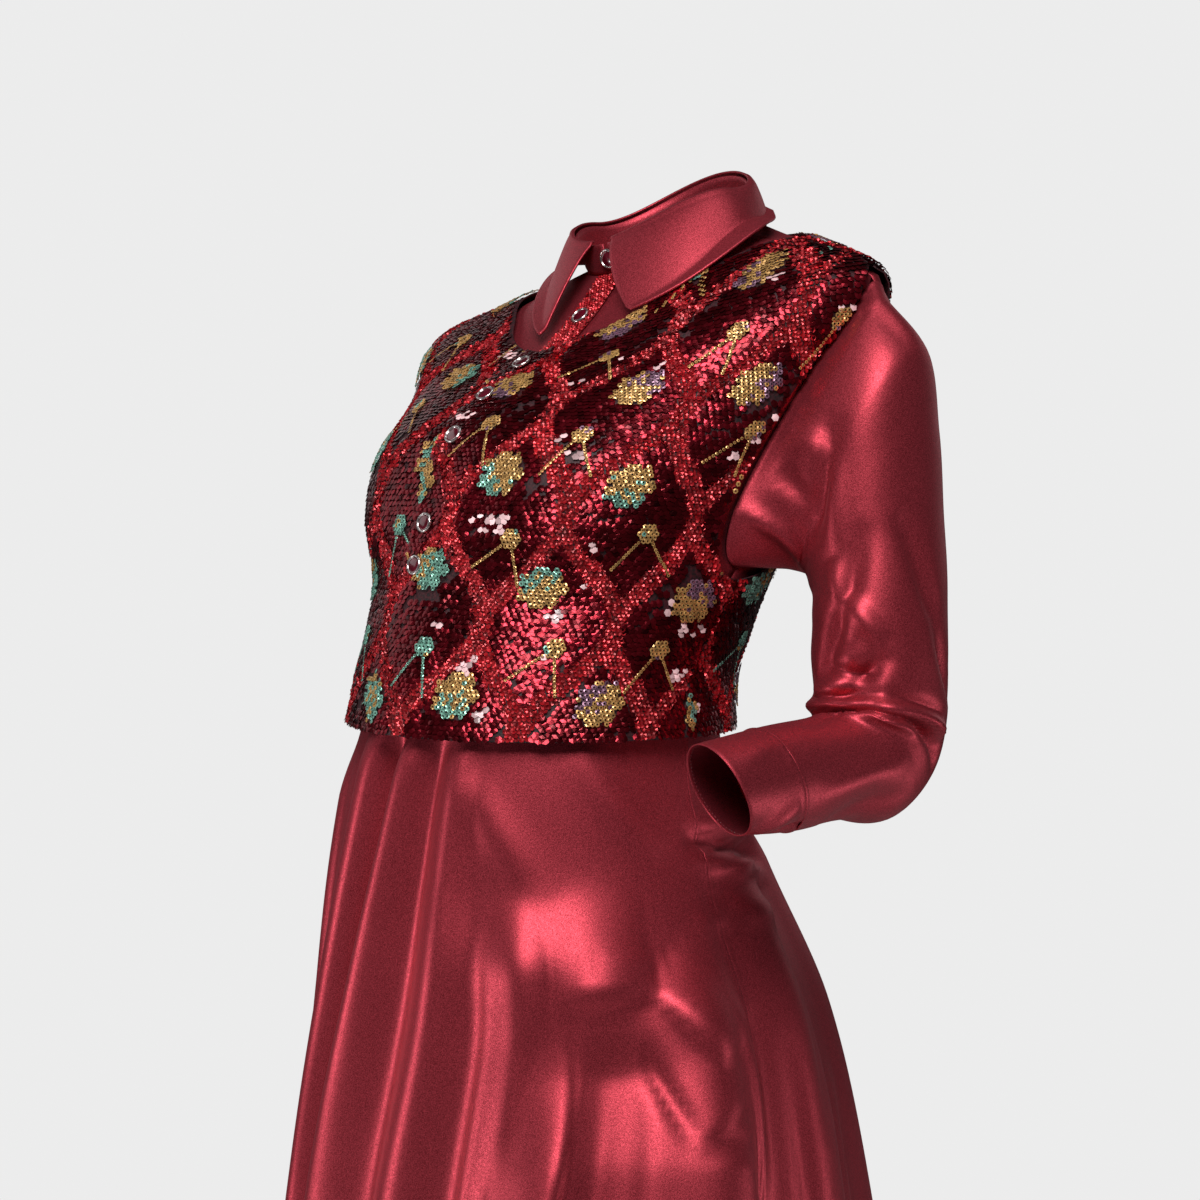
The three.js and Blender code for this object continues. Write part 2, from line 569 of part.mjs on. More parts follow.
// One panel of the vest between two edges, each a side line or a line at the front.
function vestPanel(name, surface, left, right, across) {
  const place = (u, v) => {
    const share = VEST_ROWS[Math.round(v * (VEST_ROWS.length - 1))];
    const height = (angle) => VEST_HEM_AT + (vestTop(angle) - VEST_HEM_AT) * share;
    const edge = (line, sign) => {
      if (!line.armhole) return line.angle;
      let angle = line.angle;
      for (let k = 0; k < 12; k += 1) {
        const at = height(angle);
        const gap = gapAngle(rowAt(TORSO, at));
        angle = line.angle + sign * (gap + armholeEdge(VEST_ARMHOLE, line.armhole, at));
      }
      return angle;
    };
    const from = edge(left, 1);
    const to = edge(right, -1);
    const angle = from + (to - from) * u;
    return [angle, height(angle)];
  };
  return wall(name, sequinned, {
    surface, place, across, down: VEST_ROWS.length - 1, thick: SEQUINNED, steps: TORSO_STEPS,
  });
}

function vest() {
  const { ahead, behind } = VEST_ARMHOLE;
  return [
    vestPanel('vest_front_right', vestUnder, { angle: -180, armhole: ahead },
      { angle: FRONT + VEST_LAP_ANGLE }, 11),
    vestPanel('vest_front_left', vestFace, { angle: FRONT - VEST_LAP_ANGLE },
      { angle: 0, armhole: ahead }, 13),
    vestPanel('vest_back', vestUnder, { angle: 0, armhole: behind }, { angle: 180, armhole: behind }, 20),
  ];
}

// The front panel's faces beside the middle front, flat between the panel's own columns.
function frontFacet(angle, at) {
  const step = (90 - gapAngle(rowAt(TORSO, at)) - armholeEdge(DRESS_ARMHOLE, DRESS_ARMHOLE.ahead, at))
    / (FRONT_COLUMNS / 2);
  const turn = apart(angle, FRONT);
  return torso(FRONT, at).lerp(torso(FRONT + Math.sign(turn) * step, at), Math.abs(turn) / step);
}

// The beaded band down the dress front, made of the panel's points and moved out.
function placket() {
  const rows = bodiceRows().filter((at) => at >= PLACKET_END_AT);
  rows[rows.length - 1] = PLACKET_TOP_AT;
  return wall('placket', beaded, {
    surface: movedOut(frontFacet, () => 2 * SEAM_GAP + PLACKET_DEPTH, ...TORSO_STEPS, 1),
    place: (u, v) => {
      const at = rows[Math.round(v * (rows.length - 1))];
      const half = THREE.MathUtils.radToDeg(PLACKET_WIDTH / 2 / rowAt(TORSO, at).width);
      return [FRONT + half * (2 * u - 1), at];
    },
    across: 2,
    down: rows.length - 1,
    thick: PLACKET_DEPTH,
    steps: TORSO_STEPS,
  });
}

// A round shank button: a rim round a dished middle, seated square on a face.
function button(name, seat, out) {
  const { radius: r, height: h, edge, rim, dish } = BUTTON;
  const profile = [
    [0, 0],
    [r - edge, 0],
    [r, edge],
    [r - edge / 2, h],
    [r - rim, h],
    [r - rim - edge, h - dish],
    [0, h - dish],
  ];
  const shape = new THREE.LatheGeometry(profile.map(([x, y]) => new THREE.Vector2(x, y)), 12);
  const mesh = new THREE.Mesh(shape, buttonShell);
  mesh.name = name;
  mesh.position.copy(seat).addScaledVector(out, SEAM_GAP + BUTTON_SEAT);
  mesh.quaternion.setFromUnitVectors(new THREE.Vector3(0, 1, 0), out);
  return mesh;
}

function buttons() {
  const on = (name, surface, { at, sink }, steps) => {
    const out = squareOut(surface, FRONT, at, ...steps, 1);
    return button(name, surface(FRONT, at).addScaledVector(out, -sink), out);
  };
  const band = movedOut(torso, () => 2 * SEAM_GAP + PLACKET_DEPTH, ...TORSO_STEPS, 1);
  return [
    on('button_collar', stand, COLLAR_BUTTON, COLLAR_STEPS),
    on('button_placket', band, PLACKET_BUTTON, TORSO_STEPS),
    ...VEST_BUTTONS.map((row, k) => on(`button_vest_${k + 1}`, vestFace, row, TORSO_STEPS)),
  ];
}

const group = new THREE.Group();
group.add(...bodicePanels(), ...skirtPanels());
group.add(...sleeve('left', 1, LEFT_SLEEVE, LEFT_CUFF_AT, 20));
group.add(...sleeve('right', -1, RIGHT_SLEEVE, RIGHT_CUFF_AT, 14));
group.add(...collar(), ...vest(), placket(), ...buttons());
export default group;
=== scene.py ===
import math

import bpy
import numpy as np
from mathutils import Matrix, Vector


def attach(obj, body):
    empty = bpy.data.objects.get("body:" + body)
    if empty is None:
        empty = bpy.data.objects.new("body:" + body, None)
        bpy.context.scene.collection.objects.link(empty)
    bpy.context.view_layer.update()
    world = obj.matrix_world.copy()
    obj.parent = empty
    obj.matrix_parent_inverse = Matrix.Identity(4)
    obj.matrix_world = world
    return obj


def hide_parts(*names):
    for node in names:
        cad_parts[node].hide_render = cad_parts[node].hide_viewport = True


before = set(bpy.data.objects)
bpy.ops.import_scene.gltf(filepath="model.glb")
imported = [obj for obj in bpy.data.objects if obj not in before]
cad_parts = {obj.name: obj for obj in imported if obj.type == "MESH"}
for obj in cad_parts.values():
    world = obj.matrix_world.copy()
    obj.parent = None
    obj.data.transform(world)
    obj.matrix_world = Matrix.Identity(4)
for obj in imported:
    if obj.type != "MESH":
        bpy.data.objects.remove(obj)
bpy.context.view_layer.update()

# A long satin shirt dress under a short sequinned vest, in cloth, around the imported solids.
MM = 0.001
RNG = np.random.default_rng(41)
FRONT = -90


def table(columns, *rows):
    """Rows of a table as a dictionary of columns."""
    return {name: np.array(column, float) for name, column in zip(columns.split(), zip(*rows))}


# The garment's own sizes, in millimetres, as its solids have them. The wearer's left is +X, the front
# faces -Y, and the origin is the middle of the neck opening at the height of the shoulder points.
TORSO = table(
    "at side front back width ahead behind x y skew roll",
    (-0.15, -372, -372, -372, 147, 152, 112, -27, -97, -9, 0),
    (0, -312, -312, -312, 137, 148, 107, -23, -91, -7, 0),
    (0.15, -275, -275, -275, 139, 154, 104, -20, -78, -3, 0),
    (0.33, -235, -232, -235, 147, 160, 95, -17, -62, 2, 0),
    (0.5, -192, -188, -190, 157, 168, 80, -13, -45, 10, 0.02),
    (0.62, -152, -141, -140, 166, 167, 72, -10, -30, 20, 0.05),
    (0.74, -100, -106, -88, 175, 147, 66, -7, -15, 30, 0.08),
    (0.86, -41, -78, -34, 184, 117, 56, -4, -4, 36, 0.11),
    (0.93, -16, -46, 2, 124, 86, 58, -2, 0, 22, 0.15),
    (1, 4, -14, 26, 64, 60, 58, 0, 0, 8, 0.17),
)
SKIRT = table(
    "at width ahead behind x y skew",
    (312, 137, 148, 107, -23, -91, -7), (350, 142, 148, 112, -26, -96, -8),
    (385, 148, 149, 125, -27, -100, -6), (455, 162, 160, 146, -25, -96, 0),
    (560, 192, 185, 174, -20, -80, 0), (709, 220, 203, 202, -18, -76, 0),
    (1350, 318, 292, 296, -15, -66, 0),
)
FOLDS = table(
    "at mid low hem wide rise start",
    (-227, -225, -224, -223, 9, -12, 400), (-200, -198, -196, -196, 9, -12, 400),
    (-176, -176, -175, -174, 10, 12, 390), (-152, -155, -156, -156, 10, -12, 370),
    (-126, -133, -138, -140, 9, 10, 350), (-108, -122, -130, -133, 6, -6, 335),
    (-98, -114, -123, -126, 7, 14, 318), (-88, -106, -116, -118, 5, -19, 318),
    (-79, -98, -106, -108, 6, 15, 318), (-71, -87, -95, -98, 6, -13, 322),
    (-63, -76, -84, -87, 5, 9, 325), (-53, -63, -69, -72, 6, -6, 430),
    (-44, -52, -59, -60, 7, 10, 450), (-27, -33, -38, -40, 14, -14, 530),
    (-10, -14, -17, -20, 9, 6, 500), (7, 1, -5, -7, 5, -4, 430), (22, 18, 14, 12, 8, 10, 430),
    (40, 39, 37, 36, 9, -10, 400), (61, 61, 60, 60, 9, 13, 400), (84, 85, 84, 84, 9, -12, 390),
    (108, 109, 109, 110, 10, 13, 400), (133, 135, 136, 137, 9, -12, 400),
    (160, 162, 164, 164, 9, -12, 400), (184, 184, 185, 186, 10, 12, 390),
    (208, 205, 204, 204, 10, -12, 370),
)
LEFT_SLEEVE = table(
    "at x y z tilt bend yaw tall deep",
    (0, 168, 8, -126, 12, 0, 18, 98, 44),
    (0.06, 179, 12, -136, 17, 0, 18, 97, 48),
    (0.12, 189, 17, -152, 27, 0, 18, 92, 51),
    (0.19, 194, 19, -183, 36, 0, 18, 74, 53),
    (0.26, 199, 19, -218, 52, 0, 18, 55, 53),
    (0.33, 205, 15, -254, 76, 0, 18, 47, 52),
    (0.41, 209, 11, -290, 90, 0, 18, 47, 50),
    (0.48, 212, 10, -320, 90, 0, 17, 46, 49),
    (0.56, 213, 2, -349, 90, 30, 14, 44, 51),
    (0.63, 216, -20, -364, 90, 58, 9, 41, 47),
    (0.7, 219, -46, -363, 90, 80, 5, 38, 37),
    (0.85, 227, -105, -366, 90, 74, -3, 36, 37),
    (1, 235, -166, -368, 90, 66, -10, 33, 34),
)
RIGHT_SLEEVE = table(
    "at x y z tilt bend yaw tall deep",
    (0, 184, -46, -148, 4, 0, 0, 84, 36),
    (0.07, 195, -46, -152, 6, 0, 0, 80, 38),
    (0.14, 204, -48, -166, 12, 0, 0, 73, 45),
    (0.22, 210, -48, -196, 24, 0, 0, 58, 49),
    (0.3, 213, -46, -236, 46, 0, 0, 43, 49),
    (0.38, 217, -44, -278, 78, 0, 2, 42, 48),
    (0.5, 223, -43, -330, 84, 0, 4, 42, 46),
    (0.65, 232, -42, -395, 83, 6, 8, 40, 43),
    (0.82, 244, -45, -470, 80, 12, 11, 37, 38),
    (1, 259, -53, -556, 80, 14, 12, 33, 33),
)
LEAF = table(
    "at out drop",
    (-90, 38, 66), (-58, 41, 66), (-30, 44, 60), (-6, 40, 50), (16, 25, 43), (40, 15, 40),
    (90, 15, 36), (150, 17, 41), (187, 15, 46), (213, 18, 54), (238, 30, 66), (262, 46, 72),
)
VEST_NECKLINE = table(
    "at edge",
    (0, 0.855), (14, 0.885), (34, 0.92), (62, 0.938), (90, 0.944), (180, 0.95),
)
VEST_EASE = table(
    "at ease",
    (-0.15, 13), (0, 11), (0.25, 7), (0.5, 5.6), (1, 5.4),
)
BUST = {"depth": 13, "apart": 36, "across": 38.4, "at": 0.52, "tall": 0.272}
DRESS_ARMHOLE = {"middle": 0.6125, "half": 0.2425, "ahead": 13, "behind": 29}
VEST_ARMHOLE = {"middle": 0.605, "half": 0.268, "ahead": 16.5, "behind": 34}
SIDE_SEAM = 7
FOLD_DEPTHS = np.array([345.0, 560, 709, 1350])
HIP = {"angle": -48, "down": 500, "across": 34, "tall": 62, "out": 9}
CUFF_AT = {1: 0.87, -1: 0.9}
COLLAR_STAND = {"front": 22, "side": 31, "back": 35}
NECK_LEAN = np.array([-0.2, -0.25, 0.95]) / math.hypot(0.2, 0.25, 0.95)
LEAF_FRONT = {"fold": 8, "left": 33, "right": 7}
LEAF_FOLD = 2.5
LEAF_FOLD_SHARE = 0.06
LEAF_CLEAR = 12
STAND_OPENING = 2
SLEEVE_BLEND = 0.12
VEST_HEM_AT = -0.09
VEST_LAP_ANGLE = 5
VEST_LAP = 3.4
VEST_BUTTONS = ((0.815, 1.56), (0.72, 1.46), (0.63, 0.38), (0.47, 1.19), (0.35, 1.74))  # height, rise
PLACKET_BUTTON_AT = 0.925
PLACKET_AT = (0.2, 0.995)
WAIST_DOWN, HEM_DOWN = 312, 1350
SKIRT_ROWS, CUFF_ROWS = 130, 18


def smooth(xs, ys, at):
    """Smooth values between rows. ys is a column, or one column for each point along its first axis."""
    at = np.asarray(at, float)
    after = np.clip(np.searchsorted(xs, at), 1, len(xs) - 1)
    rows = [np.maximum(after - 2, 0), after - 1, after, np.minimum(after + 1, len(xs) - 1)]
    if ys.ndim == 1:
        y = [ys[r] for r in rows]
    else:
        y = [np.take_along_axis(ys, r[None], 0)[0] for r in rows]
    x = [xs[r] for r in rows]
    span = x[2] - x[1]
    s = np.clip((at - x[1]) / span, 0, 1)
    slope_a = (y[2] - y[0]) / (x[2] - x[0]) * span
    slope_b = (y[3] - y[1]) / (x[3] - x[1]) * span
    rest = 1 - s
    return (y[1] * rest**2 * (1 + 2 * s) + y[2] * s**2 * (3 - 2 * s)
            + slope_a * s * rest**2 - slope_b * s**2 * rest)


def along(rows, column, at):
    return smooth(rows["at"], rows[column], at)


def ramp(low, high, value):
    s = np.clip((value - low) / (high - low), 0, 1)
    return s * s * (3 - 2 * s)


def bump(distance, reach):
    return 0.5 + 0.5 * np.cos(np.minimum(np.abs(distance) / reach, 1) * np.pi)


def apart(a, b):
    return (a - b + 180) % 360 - 180


def cos_sin(degrees):
    angle = np.radians(degrees)
    return np.cos(angle), np.sin(angle)


def alike(a, b):
    """Two arrays of numbers in one shape."""
    return np.broadcast_arrays(np.asarray(a, float), np.asarray(b, float))


def unit(vectors):
    return vectors / np.maximum(np.linalg.norm(vectors, axis=-1, keepdims=True), 1e-9)


def walked(points, axis=0):
    """How far each point lies from the first one along an axis of its array."""
    steps = np.linalg.norm(np.diff(points, axis=axis), axis=-1)
    return np.concatenate([np.zeros_like(np.take(steps, [0], axis)), np.cumsum(steps, axis)], axis)


def ring(rows, at, angle):
    """Points of oval rings that have their own depths to the front and to the back."""
    c, s = cos_sin(angle)
    depth = np.where(s < 0, along(rows, "ahead", at), along(rows, "behind", at))
    x = along(rows, "x", at) + along(rows, "width", at) * c
    y = along(rows, "y", at) + depth * s + along(rows, "skew", at) * c
    return x, y


def torso(angle, at):
    """The dress body's outer face, by the angle round it and its height from the waist to the neck."""
    angle, at = alike(angle, at)
    x, y = ring(TORSO, at, angle)
    s = np.sin(np.radians(angle))
    side = along(TORSO, "side", at)
    edge = np.where(s < 0, along(TORSO, "front", at), along(TORSO, "back", at))
    z = side + (edge - side) * s * s + along(TORSO, "roll", at) * (x - along(TORSO, "x", at))
    for sign in (-1, 1):
        towards = FRONT + sign * BUST["apart"]
        high = bump(at - BUST["at"], BUST["tall"])
        out = BUST["depth"] * bump(apart(angle, towards), BUST["across"]) * high
        x = x + out * math.cos(math.radians(towards))
        y = y + out * math.sin(math.radians(towards))
    return np.stack([x, y, z], -1)


def skirt(strand, down):
    """The skirt's outer face. A strand is a line down the cloth, named by its angle at 345 mm."""
    strand, down = alike(strand, down)
    path = np.stack([strand] + [along(FOLDS, column, strand) for column in ("mid", "low", "hem")])
    angle = smooth(FOLD_DEPTHS, path, np.maximum(down, FOLD_DEPTHS[0]))
    x, y = ring(SKIRT, down, angle)
    out = np.zeros_like(x)
    deep = (0.65 + 0.35 * ramp(345, 620, down)) * (1 + 0.6 * ramp(709, 1350, down))
    for at, wide, rise, start in zip(FOLDS["at"], FOLDS["wide"], FOLDS["rise"], FOLDS["start"]):
        out += rise * deep * ramp(start, start + 55, down) * bump(strand - at, wide * 1.6)
    out += HIP["out"] * bump(angle - HIP["angle"], HIP["across"]) * bump(down - HIP["down"], HIP["tall"])
    c, s = cos_sin(angle)
    return np.stack([x + out * c, y + out * s, -down], -1)


def armhole_edge(hole, reach, at):
    """How far an armhole's edge lies from the side line, in degrees."""
    height = (at - hole["middle"]) / hole["half"]
    return reach * np.sqrt(np.maximum(1 - height * height, 0))


def sleeve(turn, at, side):
    """A sleeve's outer face, by the angle round it and the place along it. side is 1 for the left."""
    turn, at = alike(turn, at)
    rows = LEFT_SLEEVE if side > 0 else RIGHT_SLEEVE
    place = np.maximum(at, SLEEVE_BLEND / 2)
    row = {name: along(rows, name, place) for name in rows if name != "at"}
    (yaw_c, yaw_s), (up, out), (level, sink) = (cos_sin(row[name]) for name in ("yaw", "tilt", "bend"))
    outer = np.stack([yaw_c * side * out, yaw_s * out, up], -1)
    back = np.stack([-yaw_s * side * level, yaw_c * level, -sink], -1)
    c, s = cos_sin(turn)
    middle = np.stack([row["x"] * side, row["y"], row["z"]], -1)
    point = middle + outer * (row["tall"] * c)[..., None] + back * (row["deep"] * s)[..., None]
    share = np.maximum(1 - at / SLEEVE_BLEND, 0) ** 1.5
    reach = np.where(s < 0, DRESS_ARMHOLE["ahead"], DRESS_ARMHOLE["behind"]) - 0.08
    angle = reach * s if side > 0 else 180 - reach * s
    seam = torso(angle, DRESS_ARMHOLE["middle"] + DRESS_ARMHOLE["half"] * c)
    return point + (seam - point) * share[..., None]


def stand(angle, share):
    """The collar stand's outer face, from the neck seam up."""
    angle, share = alike(angle, share)
    s = np.sin(np.radians(angle))
    edge = np.where(s < 0, COLLAR_STAND["front"], COLLAR_STAND["back"])
    height = COLLAR_STAND["side"] + (edge - COLLAR_STAND["side"]) * s * s
    return torso(angle, 1) + NECK_LEAN * (height * share)[..., None]


def shoulder_height(x, y):
    """The height of the dress body under a point, where its rings close in on the neck."""
    low, high = np.full_like(x, 0.8), np.ones_like(x)
    angle = np.zeros_like(x)
    for _ in range(14):
        middle = (low + high) / 2
        c = (x - along(TORSO, "x", middle)) / along(TORSO, "width", middle)
        dy = y - along(TORSO, "y", middle) - along(TORSO, "skew", middle) * c
        s = dy / np.where(dy < 0, along(TORSO, "ahead", middle), along(TORSO, "behind", middle))
        angle = np.degrees(np.arctan2(s, c))
        outside = c * c + s * s > 1
        high = np.where(outside, middle, high)
        low = np.where(outside, low, middle)
    return torso(angle, low)[..., 2]


def leaf(angle, share):
    """The turned-down collar's outer face, from its fold over the stand to its lower edge."""
    angle, share = alike(angle, share)
    unwound = np.clip(angle, LEAF["at"][0], LEAF["at"][-1])
    away = np.stack([*cos_sin(angle), np.zeros_like(angle)], -1)
    over = np.minimum(share / LEAF_FOLD_SHARE, 1)
    fall = np.maximum((share - LEAF_FOLD_SHARE) / (1 - LEAF_FOLD_SHARE), 0)
    point = stand(angle, 1) + NECK_LEAN * (LEAF_FOLD * (0.9 - 1.1 * over * over))[..., None]
    out = LEAF_FOLD * (0.2 + 1.2 * np.sin(over * np.pi / 2)) + along(LEAF, "out", unwound) * fall**0.8
    point = point + away * out[..., None]
    point[..., 2] -= along(LEAF, "drop", unwound) * fall
    rest = shoulder_height(point[..., 0], point[..., 1]) + LEAF_CLEAR
    point[..., 2] = np.where(fall > 0.3, np.maximum(point[..., 2], rest), point[..., 2])
    return point


SMALL_STEP = (0.5, 0.004)  # degrees round the body and share of its height


def square_out(surface, a, b, step_a, step_b):
    """The outward direction square to a face."""
    along_a = surface(a + step_a, b) - surface(a - step_a, b)
    along_b = surface(a, b + step_b) - surface(a, b - step_b)
    return unit(np.cross(along_a, along_b))


def off_torso(angle, at, lift):
    """A face that lies a little off the dress body."""
    return torso(angle, at) + square_out(torso, angle, at, *SMALL_STEP) * np.asarray(lift)[..., None]


def vest_under(angle, at):
    """The vest's outer face where it lies straight on the dress."""
    return off_torso(angle, at, along(VEST_EASE, "ease", at))


def vest_over(angle, at):
    """The left vest front, which laps over the right one."""
    over = VEST_LAP * ramp(VEST_LAP_ANGLE * 3.6, VEST_LAP_ANGLE * 2, np.abs(apart(angle, FRONT)))
    return off_torso(angle, at, along(VEST_EASE, "ease", at) + over)


def vest_top(angle):
    return along(VEST_NECKLINE, "edge", np.abs(apart(angle, FRONT)))


# ---------------------------------------------------------------- materials
def material(name, colour, roughness, metallic, **extra):
    """A principled material and its nodes. extra sets further sockets by name."""
    mat = bpy.data.materials.new(name)
    mat.use_nodes = True
    tree = mat.node_tree
    shader = tree.nodes["Principled BSDF"]
    shader.inputs["Base Color"].default_value = (*colour, 1)
    shader.inputs["Roughness"].default_value = roughness
    shader.inputs["Metallic"].default_value = metallic
    for socket, value in extra.items():
        shader.inputs[socket.replace("_", " ")].default_value = value
    return mat, tree, shader


def noise(tree, scale, detail):
    """Noise that is fixed to the object."""
    place = tree.nodes.new("ShaderNodeTexCoord")
    node = tree.nodes.new("ShaderNodeTexNoise")
    node.inputs["Scale"].default_value = scale
    node.inputs["Detail"].default_value = detail
    tree.links.new(place.outputs["Object"], node.inputs["Vector"])
    return node.outputs["Fac"]


def ramped(tree, scale, detail, low, first, high, second):
    """A colour that goes from first to second as noise goes from low to high."""
    node = tree.nodes.new("ShaderNodeValToRGB")
    for stop, place, colour in zip(node.color_ramp.elements, (low, high), (first, second)):
        stop.position = place
        stop.color = (*colour, 1)
    tree.links.new(noise(tree, scale, detail), node.inputs["Fac"])
    return node.outputs["Color"]


def multiplied(tree, first, second):
    node = tree.nodes.new("ShaderNodeMix")
    node.data_type = "RGBA"
    node.blend_type = "MULTIPLY"
    node.inputs["Factor"].default_value = 1.0
    colours = [socket for socket in node.inputs if socket.type == "RGBA"]
    tree.links.new(first, colours[0])
    tree.links.new(second, colours[1])
    return [socket for socket in node.outputs if socket.type == "RGBA"][0]


def bumped(tree, shader, scale, detail, strength, distance):
    node = tree.nodes.new("ShaderNodeBump")
    node.inputs["Strength"].default_value = strength
    node.inputs["Distance"].default_value = distance
    tree.links.new(noise(tree, scale, detail), node.inputs["Height"])
    tree.links.new(node.outputs["Normal"], shader.inputs["Normal"])


def satin_material():
    """Satin with a fine grain in its colour, a soft sheen and slow changes of tone."""
    mat, tree, shader = material("satin", (0.34, 0.024, 0.05), 0.5, 0.8, Specular_IOR_Level=0.4,
                                 Sheen_Weight=0.06, Sheen_Roughness=0.5, Sheen_Tint=(1.0, 0.3, 0.36, 1))
    grain = ramped(tree, 1700.0, 3.0, 0.38, (0.25, 0.019, 0.029), 0.62, (0.62, 0.068, 0.098))
    cloudy = ramped(tree, 9.0, 2.0, 0.3, (0.88, 0.86, 0.86), 0.7, (1.0, 1.0, 1.0))
    tree.links.new(multiplied(tree, grain, cloudy), shader.inputs["Base Color"])
    sheen = ramped(tree, 500.0, 2.0, 0.3, (0.44,) * 3, 0.7, (0.52,) * 3)
    tree.links.new(sheen, shader.inputs["Roughness"])
    bumped(tree, shader, 750.0, 3.0, 0.3, 0.0003)
    return mat


def sequin_material(name, roughness, metallic, coat):
    """Shiny flakes, each in its own colour."""
    mat, tree, shader = material(name, (0.3, 0.01, 0.02), roughness, metallic, Coat_Weight=coat,
                                 Coat_Roughness=0.08, Specular_IOR_Level=0.7)
    tint = tree.nodes.new("ShaderNodeAttribute")
    tint.attribute_name = "tint"
    worn = ramped(tree, 260.0, 2.0, 0.3, (0.8, 0.8, 0.8), 0.7, (1.0, 1.0, 1.0))
    tree.links.new(multiplied(tree, tint.outputs["Color"], worn), shader.inputs["Base Color"])
    return mat


def mottled(name, colour, roughness, metallic, stops, bump_of=None, **extra):
    """A material whose colour wanders. stops are the arguments of ramped, bump_of those of bumped."""
    mat, tree, shader = material(name, colour, roughness, metallic, **extra)
    tree.links.new(ramped(tree, *stops), shader.inputs["Base Color"])
    if bump_of:
        bumped(tree, shader, *bump_of)
    return mat


SATIN = satin_material()
THREAD = mottled("thread", (0.2, 0.012, 0.026), 0.5, 0.0,
                 (2500.0, 2.0, 0.3, (0.14, 0.008, 0.018), 0.7, (0.3, 0.02, 0.04)), Sheen_Weight=0.3)
GROUND = mottled("sequin_ground", (0.03, 0.004, 0.008), 0.6, 0.0,
                 (420.0, 3.0, 0.35, (0.006, 0.002, 0.003), 0.7, (0.07, 0.006, 0.012)),
                 (900.0, 2.0, 0.6, 0.0005))
CUPS = sequin_material("cup_sequins", 0.32, 0.55, 0.1)
FLAKES = sequin_material("flat_sequins", 0.24, 0.85, 0.06)
RINGS = sequin_material("ring_sequins", 0.3, 0.5, 0.1)
# Flat sequins drawn with this material have a pale colour that is a painted highlight, in place of light
# glinting off them.
PAINTED_GLINTS = sequin_material("painted_glint_sequins", 0.35, 0.0, 0.4)
BUTTON_RIM = mottled("button_rim", (0.62, 0.56, 0.55), 0.22, 0.9,
                     (300.0, 2.0, 0.35, (0.5, 0.44, 0.43), 0.7, (0.72, 0.66, 0.65)))
BUTTON_MIDDLE = mottled("button_middle", (0.09, 0.004, 0.012), 0.14, 0.0,
                        (160.0, 2.0, 0.35, (0.06, 0.003, 0.008), 0.7, (0.13, 0.006, 0.018)),
                        Coat_Weight=0.8)


# ---------------------------------------------------------------- meshes
def placed(name, data):
    obj = bpy.data.objects.new(name, data)
    bpy.context.scene.collection.objects.link(obj)
    return obj


def piece(name, points, faces, materials, slot, nodes=(), tint=None, index=None, smooth_faces=True):
    """A mesh piece from points in millimetres and an array of triangles or of quads."""
    mesh = bpy.data.meshes.new(name)
    points = np.asarray(points, float) * MM
    faces = np.asarray(faces, np.int32)
    mesh.vertices.add(len(points))
    mesh.vertices.foreach_set("co", points.astype(np.float32).ravel())
    mesh.loops.add(faces.size)
    mesh.loops.foreach_set("vertex_index", faces.ravel())
    mesh.polygons.add(len(faces))
    mesh.polygons.foreach_set("loop_start", np.arange(0, faces.size, faces.shape[1], dtype=np.int32))
    mesh.polygons.foreach_set("use_smooth", np.full(len(faces), smooth_faces))
    if index is not None:
        mesh.polygons.foreach_set("material_index", np.asarray(index, np.int32))
    mesh.update(calc_edges=True)
    if tint is not None:
        layer = mesh.color_attributes.new("tint", "FLOAT_COLOR", "POINT")
        colours = np.column_stack([tint, np.ones(len(tint))])
        layer.data.foreach_set("color", colours.astype(np.float32).ravel())
    for one in materials:
        mesh.materials.append(one)
    obj = placed(name, mesh)
    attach(obj, "root")
    if nodes:
        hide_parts(*nodes)
    return obj


def grid_normals(grid, closed, turn):
    """Outward directions of a grid of points, rows first."""
    along_u = np.roll(grid, -1, 1) - np.roll(grid, 1, 1) if closed else np.gradient(grid, axis=1)
    return unit(np.cross(along_u, np.gradient(grid, axis=0)) * turn)


def edge_distance(grid, edge):
    """How far each point of a grid lies from one of its edges, along the cloth."""
    axis = 1 if edge in ("first", "last") else 0
    far = walked(grid, axis)
    return far if edge in ("first", "low") else np.take(far, [-1], axis) - far


CREASE_STEPS, CREASE_REACH = 15, 2.6
SEAM_GROOVE = {"deep": 0.9, "wide": 1.8}


def crease(grid, normals, surface, row):
    """How far a soft ridge or trough lifts a grid, along a line on its surface from (a0, b0) to (a1, b1).

    right and left are the soft widths beside a line that runs down the cloth, seen from outside.
    """
    a0, b0, a1, b1, right, left, height = row
    t = np.linspace(0, 1, CREASE_STEPS)
    line = surface(a0 + (a1 - a0) * t, b0 + (b1 - b0) * t)
    reach = CREASE_REACH * max(left, right)
    low, high = line.min(0) - reach, line.max(0) + reach
    near = np.all((grid > low) & (grid < high), axis=-1)
    points, outs = grid[near], normals[near]
    if len(points) == 0:
        return np.zeros(grid.shape[:-1])
    best = np.full(len(points), 1e9)
    side = np.ones(len(points))
    place = np.zeros(len(points))
    for k in range(len(t) - 1):
        way = line[k + 1] - line[k]
        share = np.clip((points - line[k]) @ way / (way @ way), 0, 1)
        off = points - line[k] - share[:, None] * way
        distance = np.linalg.norm(off, axis=-1)
        closer = distance < best
        best = np.where(closer, distance, best)
        sign = np.sign(np.sum(np.cross(outs, way) * off, axis=-1))
        side = np.where(closer, sign, side)
        place = np.where(closer, (k + share) / (len(t) - 1), place)
    wide = np.where(side > 0, right, left)
    lift = np.zeros(grid.shape[:-1])
    lift[near] = height * np.exp(-((best / wide) ** 2)) * np.sin(np.pi * np.clip(place, 0, 1)) ** 0.7
    return lift


def creased(grid, closed, turn, surface, rows):
    normals = grid_normals(grid, closed, turn)
    return sum((crease(grid, normals, surface, row) for row in rows), np.zeros(grid.shape[:-1]))


